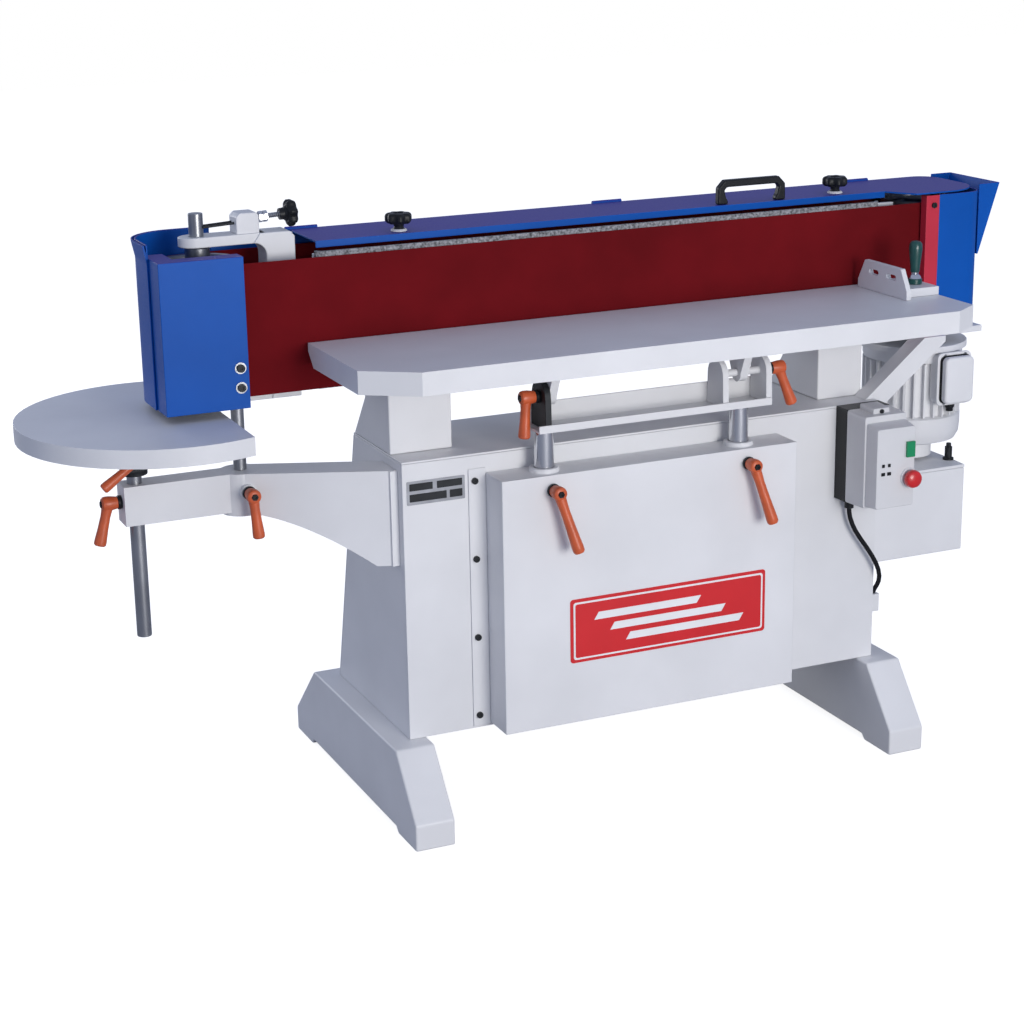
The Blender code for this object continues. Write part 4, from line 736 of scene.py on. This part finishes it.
def makeTensionBracket():
    facts = tensionBracket
    reach, legLeft, legRight, half = facts["end"], facts["legLeft"], facts["legRight"], facts["halfWide"]
    middle, fillet, hole = facts["middle"], facts["fillet"], facts["holeRadius"]
    arms = []
    for low, high in ((facts["armFoot"], facts["top"]), (facts["foot"], facts["footTop"])):
        shape = bmesh.new()
        outer, inner = [], []
        for i in range(33):
            angle = math.pi / 2 + math.pi * i / 32
            outer.append((reach + half + half * math.cos(angle), half * math.sin(angle)))
            inner.append((facts["holeX"] + hole * math.cos(angle), hole * math.sin(angle)))
        for i in range(1, 16):
            angle = -math.pi / 2 + math.pi * i / 16
            outer.append((legLeft + 0.002, -half + 2 * half * i / 16))
            inner.append((facts["holeX"] + hole * math.cos(angle), hole * math.sin(angle)))
        bridge(shape, [[shape.verts.new(at(x, middle + y, z)) for x, y in loop]
                       for loop, z in ((outer, low), (outer, high), (inner, high), (inner, low))], closed=True)
        arms.append(meshFrom(shape, "arm"))
    foot, top, armFoot = facts["foot"], facts["top"], facts["armFoot"]
    outline = [(legRight, foot), (legRight, top - facts["chamfer"]), (legRight - facts["chamfer"], top),
               (legLeft - 0.010, top), (legLeft - fillet, armFoot)]
    for i in range(1, 9):
        angle = math.pi / 2 * i / 8
        outline.append((legLeft - fillet + fillet * math.sin(angle), armFoot - fillet * (1 - math.cos(angle))))
    outline += [(legLeft, facts["footTop"]), (legLeft - 0.002, foot)]
    post = plateMesh("post", outline, 2 * half, at(0.0, middle + half, 0.0))
    soften(keep("tensionBracket", joined("tensionBracket", arms + [post]), "tension_slide", "stand_enamel",
                covers=["tension_bracket"]), 0.0022, 3, 40)
    block = plateMesh("trackingBlock", [(-0.233, 1.0765), (-0.192, 1.0765), (-0.192, 1.107), (-0.197, 1.1125),
                                        (-0.226, 1.1125), (-0.233, 1.106)], 0.040, at(0.0, middle + 0.020, 0.0))
    soften(keep("trackingBlock", block, "tension_slide", "stand_enamel"), 0.002, 2)


makeTensionBracket()


# its collar, and the two thin rods from the tracking block to the shaft
collar = turnedMesh("shaftCollar", [(0.0132, 1.0385), (0.0215, 1.0385), (0.0215, 1.0575), (0.0205, 1.0590),
                                    (0.0132, 1.0590), (0.0132, 1.0385)], at(-0.298, 0.158, 0.0), steps=28)
keep("shaftCollar", collar, "tension_slide", "grey_steel")
for side, y in (("front", 0.150), ("back", 0.166)):
    rod = tubeMesh(side + "TrackingRod", [at(-0.288, y, 1.092), at(-0.260, y, 1.0935), at(-0.2325, y, 1.095)],
                   [0.0022, 0.0022, 0.0022], 10)
    keep(side + "TrackingRod", rod, "tension_slide", "black_steel")


# the tracking screw: a threaded bar with lock nuts, and its knob
trackingScrew = dict(slope=3, end=(-0.1400, 0.158, 1.1035), reach=0.0515, length=0.0500, radius=0.0045,
                     root=0.0039, pitch=0.0034, turns=14)


def makeTrackingScrew():
    angle, radius, pitch = math.radians(trackingScrew["slope"]), trackingScrew["radius"], trackingScrew["pitch"]
    slope = Vector((math.cos(angle), 0.0, math.sin(angle)))
    end = at(*trackingScrew["end"])
    start = end - slope * trackingScrew["reach"]
    profile = [(0.0, 0.0), (radius, 0.0)]
    for i in range(trackingScrew["turns"]):
        rise = 0.001 + pitch * i
        profile += [(radius, rise), (trackingScrew["root"], rise + pitch / 2)]
    profile += [(radius, trackingScrew["length"]), (0.0, trackingScrew["length"])]
    bar = turnedMesh("trackingBar", profile, start, slope, 16)
    keep("trackingBar", bar, "tracking_screw", "grey_steel")
    grip = lobedMesh("grip", 0.0238, 0.0020, 0.0190, end, slope)
    boss = turnedMesh("boss", [(0.0, -0.010), (0.010, -0.010), (0.0105, -0.002), (0.014, 0.002), (0.0, 0.002)],
                      end, slope, 24)
    keep("trackingKnob", joined("trackingKnob", [grip, boss]), "tracking_screw", "black_plastic",
         covers=["tracking_knob"])
    nuts = [turnedMesh("nut", [(0.0048, low), (0.0098, low), (0.0098, low + 0.007), (0.0048, low + 0.007),
                               (0.0048, low)], start, slope, 6) for low in (0.004, 0.0125)]
    keep("trackingNuts", joined("trackingNuts", nuts), "tracking_screw", "chrome")


makeTrackingScrew()


# the cover's U handle: flat feet, chamfered corners
coverHandle = dict(bar=0.0135, corner=0.014, toe=0.021, deep=0.015, screwInset=0.0175)


def makeCoverHandle():
    low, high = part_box("cover_handle")
    left, right, foot, top = low.x, high.x, low.z, high.z
    bar, corner, toe, deep = (coverHandle[key] for key in ("bar", "corner", "toe", "deep"))
    bend = corner + 0.005
    outline = [(left, foot), (left + toe, foot), (left + toe, foot + 0.006), (left + bar + 0.0035, foot + 0.012),
               (left + bar, top - bend), (left + bend, top - bar), (right - bend, top - bar),
               (right - bar, top - bend), (right - bar - 0.0035, foot + 0.012), (right - toe, foot + 0.006),
               (right - toe, foot), (right, foot), (right - 0.0005, top - corner), (right - corner, top),
               (left + corner, top), (left + 0.0005, top - corner)]
    mesh = plateMesh("coverHandle", outline, deep, Vector((0.0, (low.y + high.y) / 2 + deep / 2, 0.0)))
    soften(keep("coverHandle", mesh, bodyOfNode["cover_handle"], "black_plastic", covers=["cover_handle"]),
           0.0036, 3, 25)
    inset = coverHandle["screwInset"]
    screwRow("handleScrews", "cover", Vector((left + inset, low.y + 0.006, foot + 0.0065)), "+z", 2,
             (right - left - 2 * inset, 0, 0), 0.0030, 0.0020, "chrome")


makeCoverHandle()
print("knobs and handle done")


# motor: fan bell, finned body, flange, terminal box
def makeMotor():
    low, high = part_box("motor")
    middle = boxMiddle("motor")
    axis = Vector((middle.x, middle.y, 0.0))
    flange = (high.x - low.x) / 2
    bottom, top = low.z, high.z
    cowl = bottom + 0.034  # where the neck meets the fan bell
    finFoot, finTop = cowl + 0.060, top - 0.036
    bell = [(0.0, bottom), (0.044, bottom), (0.044, cowl - 0.002), (0.072, cowl), (0.090, cowl + 0.006),
            (0.0965, cowl + 0.018), (0.098, cowl + 0.034), (0.098, cowl + 0.056), (0.0955, cowl + 0.058),
            (0.0855, finFoot), (0.0855, finTop), (0.096, top - 0.034), (0.098, top - 0.028),
            (0.098, top - 0.014), (flange, top - 0.012), (flange, top - 0.001), (flange - 0.001, top), (0.0, top)]
    keep("motor", turnedMesh("motor", bell, axis, steps=72), "oscillating_unit", "stand_enamel",
         covers=["motor"])
    bladeRing("motorFins", "oscillating_unit", axis + Vector((0, 0, (finFoot + finTop) / 2)), 0.0905, 30,
              (0.014, 0.0034, finTop - finFoot), "stand_enamel")


makeMotor()


def makeTerminalBox():
    low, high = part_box("terminal_box")
    body = bodyOfNode["terminal_box"]
    centre = boxMiddle("terminal_box")
    middle = Vector((centre.x, 0.0, centre.z))
    halfWide, halfTall = (high.x - low.x) / 2, (high.z - low.z) / 2
    layers = (("terminalBase", 0.0035, 0.0240, high.y, "stand_enamel", 0.0015),
              ("terminalRim", 0.0000, 0.0060, low.y + 0.0270, "stand_enamel", 0.0018),
              ("terminalGasket", 0.0050, 0.0030, low.y + 0.0212, "black_plastic", 0.0004),
              ("terminalLid", 0.0062, 0.0185, low.y + 0.0185, "stand_enamel", 0.0060))
    for name, inset, depth, rear, finish, edge in layers:
        wide, tall = halfWide - inset, halfTall - inset
        mesh = plateMesh(name, roundedRect(-wide, -tall, wide, tall, 0.011), depth,
                         middle + Vector((0.0, rear, 0.0)))
        covers = ["terminal_box"] if name == "terminalBase" else ()
        soften(keep(name, mesh, body, finish, covers=covers), edge, 3)
    for place, z in (("lower", low.z + 0.005), ("upper", high.z - 0.005)):
        screwRow(place + "LidScrews", body, Vector((low.x + 0.016, low.y + 0.0200, z)), "-y", 2,
                 (high.x - low.x - 0.032, 0, 0), 0.0030, 0.0022)
    gland = turnedMesh("terminalGland", [(0.0, 0.0), (0.0095, 0.0), (0.0095, 0.007), (0.0075, 0.010),
                                         (0.0070, 0.016), (0.0, 0.016)],
                       Vector((centre.x, high.y - 0.018, low.z + 0.001)), (0, 0, -1), 12)
    keep("terminalGland", gland, body, "black_plastic")


makeTerminalBox()
print("motor done")


# starter: two-level cover with a screwed tab, small plain marks, two buttons
starter = dict(left=0.883, right=0.977, back=-0.0383, step=-0.098, face=-0.133, bottom=0.499, top=0.680,
               buttons=0.962, start=0.617, stop=0.562)


def taperedBox(name, near, far, nearY, farY, radius):
    # a rounded block between two upright outlines
    shape = bmesh.new()
    rings = []
    for (left, bottom, right, top), y in ((near, nearY), (far, farY)):
        outline = roundedRect(left, bottom, right, top, radius, 4)
        rings.append([shape.verts.new(at(x, y, z)) for x, z in outline])
    bridge(shape, rings)
    return meshFrom(shape, name)


def makeStarter():
    left, right, bottom, top = (starter[key] for key in ("left", "right", "bottom", "top"))
    back, step, front = (starter[key] for key in ("back", "step", "face"))
    lower = taperedBox("lower", (left, bottom, right, top),
                       (left + 0.002, bottom + 0.002, right - 0.001, top - 0.002), back, step, 0.005)
    upper = taperedBox("upper", (left + 0.005, bottom + 0.005, right - 0.002, top - 0.014),
                       (left + 0.008, bottom + 0.008, right - 0.003, top - 0.020), step + 0.001,
                       front + 0.0015, 0.005)
    tab = taperedBox("tab", (left + 0.026, top - 0.004, right - 0.028, top + 0.010),
                     (left + 0.028, top - 0.004, right - 0.030, top + 0.008), back - 0.002, step + 0.014, 0.003)
    soften(keep("starterCover", joined("starterCover", [lower, upper, tab]), "root", "starterGrey",
                ["starter_cover"]), 0.0016, 2)
    screwRow("starterTabScrew", "root", at(0.929, step + 0.013, top + 0.002), "-y", radius=0.0042, height=0.003,
             finish="black_steel")
    face = front + 0.0012
    stop = (starter["buttons"], starter["stop"])
    seat = plateMesh("startSurround", roundedRect(-0.0108, -0.0168, 0.0108, 0.0168, 0.002), 0.0008,
                     at(starter["buttons"], face, starter["start"]))
    collar = turnedMesh("stopCollar", [(0.0108, 0.0), (0.0185, 0.0), (0.0185, 0.0016), (0.0165, 0.0030),
                                       (0.0108, 0.0030), (0.0108, 0.0)],
                        at(stop[0], face, stop[1]), (0, -1, 0), 32)
    keep("buttonSurrounds", joined("buttonSurrounds", [seat, collar]), "root", "starterGrey")
    marks = []
    for z, wide in ((0.590, 0.0030), (0.574, 0.0042)):
        for x in (0.905, 0.918):
            marks.append(plateMesh("mark", roundedRect(-wide, -0.0032, wide, 0.0032, 0.0008, 2), 0.0005,
                                   at(x, face, z)))
    keep("starterMarks", joined("starterMarks", marks), "root", "black_plastic")
    profile = [(0.0, -0.005), (0.0102, -0.005), (0.0102, 0.0060), (0.0155, 0.0068), (0.0170, 0.0095),
               (0.0170, 0.0150), (0.0155, 0.0190), (0.0110, 0.0222), (0.0, 0.0235)]
    mushroom = turnedMesh("stopButton", profile, at(stop[0], front, stop[1]), (0, -1, 0), 40)
    keep("stopButton", mushroom, bodyOfNode["stop_button"], "stop_red", covers=["stop_button"])


makeStarter()


# the fence's handle: a boss, a bright stem and a teal grip
def makeFence():
    body = bodyOfNode["fence_handle"]
    low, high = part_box("fence_handle")
    centre = boxMiddle("fence_handle")
    foot = Vector((centre.x, centre.y, low.z))
    tall = high.z - low.z
    grip = [(0.0, 0.022), (0.0080, 0.022), (0.0088, 0.026), (0.0092, 0.034), (0.0112, 0.052),
            (0.0126, tall - 0.016), (0.0118, tall - 0.007), (0.0085, tall - 0.002), (0.0, tall)]
    keep("fenceHandle", turnedMesh("fenceHandle", grip, foot, steps=32), body, "handle_teal",
         covers=["fence_handle"])
    stem = [(0.0, 0.010), (0.0125, 0.010), (0.0105, 0.015), (0.0070, 0.018), (0.0070, 0.0225), (0.0, 0.0225)]
    keep("fenceHandleStem", turnedMesh("fenceHandleStem", stem, foot, steps=24), body, "chrome")
    boss = [(0.0, 0.0002), (0.0138, 0.0002), (0.0138, 0.009), (0.0128, 0.0105), (0.0, 0.0105)]
    keep("fenceHandleBoss", turnedMesh("fenceHandleBoss", boss, foot, steps=24), body, "handle_teal")


makeFence()
print("starter and fence done")


# plates and fixings on the cabinet
badge = dict(left=0.287, right=0.690, low=0.284, high=0.405, front=-0.0731,
             stripes=((-0.150, 0.060), (-0.118, 0.112), (-0.086, 0.150)), stripeStep=0.024, lean=0.0045)


def makeBadge():
    left, right, low, high = (badge[key] for key in ("left", "right", "low", "high"))
    middle = at((left + right) / 2, badge["front"], (low + high) / 2)
    halfWide, halfTall = (right - left) / 2, (high - low) / 2
    layers = (("badgePlate", halfWide, halfTall, 0.006, 0.0000, "badgeRed"),
              ("badgeBorder", halfWide - 0.006, halfTall - 0.006, 0.005, 0.0010, "badgeWhite"),
              ("badgeField", halfWide - 0.0095, halfTall - 0.0095, 0.004, 0.0014, "badgeRed"))
    for name, wide, tall, radius, rise, finish in layers:
        mesh = plateMesh(name, roundedRect(-wide, -tall, wide, tall, radius), 0.0010,
                         middle - Vector((0, rise, 0)))
        keep(name, mesh, "root", finish)
    stripes = []
    for i, (start, end) in enumerate(badge["stripes"]):
        z = badge["stripeStep"] * (1 - i)
        lean = badge["lean"]
        outline = [(start - lean, z - 0.007), (end - lean, z - 0.007), (end + lean, z + 0.007),
                   (start + lean, z + 0.007)]
        stripes.append(plateMesh("stripe", outline, 0.0006, middle - Vector((0, 0.0023, 0))))
    keep("badgeEmblem", joined("badgeEmblem", stripes), "root", "badgeWhite")


ratingPlate = dict(x=0.063, z=0.6215)


def makeRatingPlate():
    base = plateMesh("ratingPlate", roundedRect(-0.055, -0.0215, 0.055, 0.0215, 0.002), 0.0009,
                     at(ratingPlate["x"], -0.0001, ratingPlate["z"]))
    keep("ratingPlate", base, "root", "plateSilver")
    fields = []
    for left, low, right, high in ((-0.050, 0.004, -0.006, 0.017), (0.002, 0.004, 0.050, 0.017),
                                   (-0.050, -0.016, 0.020, -0.002), (0.026, -0.016, 0.050, -0.002)):
        fields.append(plateMesh("field", roundedRect(left, low, right, high, 0.001, 2), 0.0004,
                                at(ratingPlate["x"], -0.0010, ratingPlate["z"])))
    keep("ratingFields", joined("ratingFields", fields), "root", "black_steel")


makeBadge()
makeRatingPlate()

flange = plateMesh("boxFlange", [(0.1245, 0.166), (0.1577, 0.166), (0.1577, 0.652), (0.1245, 0.652)], 0.0028,
                   at(0.0, -0.0002, 0.0))
soften(keep("boxFlange", flange, "root", "stand_enamel"), 0.0008)
flangeScrews = dict(top=0.630, middle=0.485, lower=0.337, bottom=0.187)
for place, z in flangeScrews.items():
    screwRow(place + "FlangeScrew", "root", at(0.136, -0.0050, z), "-y", radius=0.0060, height=0.0040,
             finish="black_steel")
guardScrews = dict(upper=0.863, lower=0.829)
for place, z in guardScrews.items():
    screwRow(place + "GuardScrew", "root", at(-0.261, 0.0600, z), "-y", radius=0.0070, height=0.005,
             finish="black_steel")
washers = [turnedMesh("washer", [(0.0, 0.0), (0.0100, 0.0), (0.0100, 0.0014), (0.0, 0.0014)],
                      at(-0.261, 0.0632, z), (0, -1, 0), 24) for z in guardScrews.values()]
keep("guardWashers", joined("guardWashers", washers), "root", "grey_steel")
screwRow("entryScrew", "root", at(1.129, 0.0585, 1.033), "-y", radius=0.0055, height=0.0035,
         finish="black_steel")

# rear panel fixings, leaning with the panel
for row, y, z in (("upper", 0.2510, 0.640), ("lower", 0.3680, 0.190)):
    screwRow(row + "PanelScrews", "root", at(0.050, y, z), "+y", 4, (0.293, 0, 0), 0.0060, 0.0050,
             "black_steel")


# the dark tilt segment under the end table, and its foot
endSegment = dict(x=-0.433, z=0.716, radius=0.028, footHalf=(0.055, 0.022))


def makeEndSegment():
    radius, (footX, footY) = endSegment["radius"], endSegment["footHalf"]
    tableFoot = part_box("end_table")[0].z
    outline = [(0.041, 0.0296), (-0.041, 0.0296), (-0.041, 0.018)]
    for i in range(13):
        angle = math.radians(195 + 150 * i / 12)
        outline.append((radius * math.cos(angle), radius * math.sin(angle)))
    outline.append((0.041, 0.018))
    plate = plateMesh("endSegment", outline, 0.0032, at(endSegment["x"], 0.1875, endSegment["z"]))
    soften(keep("endSegment", plate, "end_table_top", "black_steel"), 0.0008)
    corners = [(-footX, -footY), (footX, -footY), (footX, footY), (-footX, footY)]
    foot = plateMesh("endSegmentFoot", corners, 0.0030, at(endSegment["x"], 0.172, tableFoot + 0.0525),
                     (1, 0, 0), (0, 1, 0))
    soften(keep("endSegmentFoot", foot, "end_table_top", "black_steel"), 0.0008)


makeEndSegment()

# the guide rod beside the motor
guideRod = turnedMesh("guideRod", [(0.0, 0.5102), (0.0110, 0.5102), (0.0110, 0.5140), (0.0074, 0.5150),
                                   (0.0074, 0.5368), (0.0050, 0.5375), (0.0050, 0.5440), (0.0, 0.5440)],
                      at(1.212, 0.097, 0.0), steps=20)
keep("guideRod", guideRod, "root", "black_steel")
print("plates and screws done")
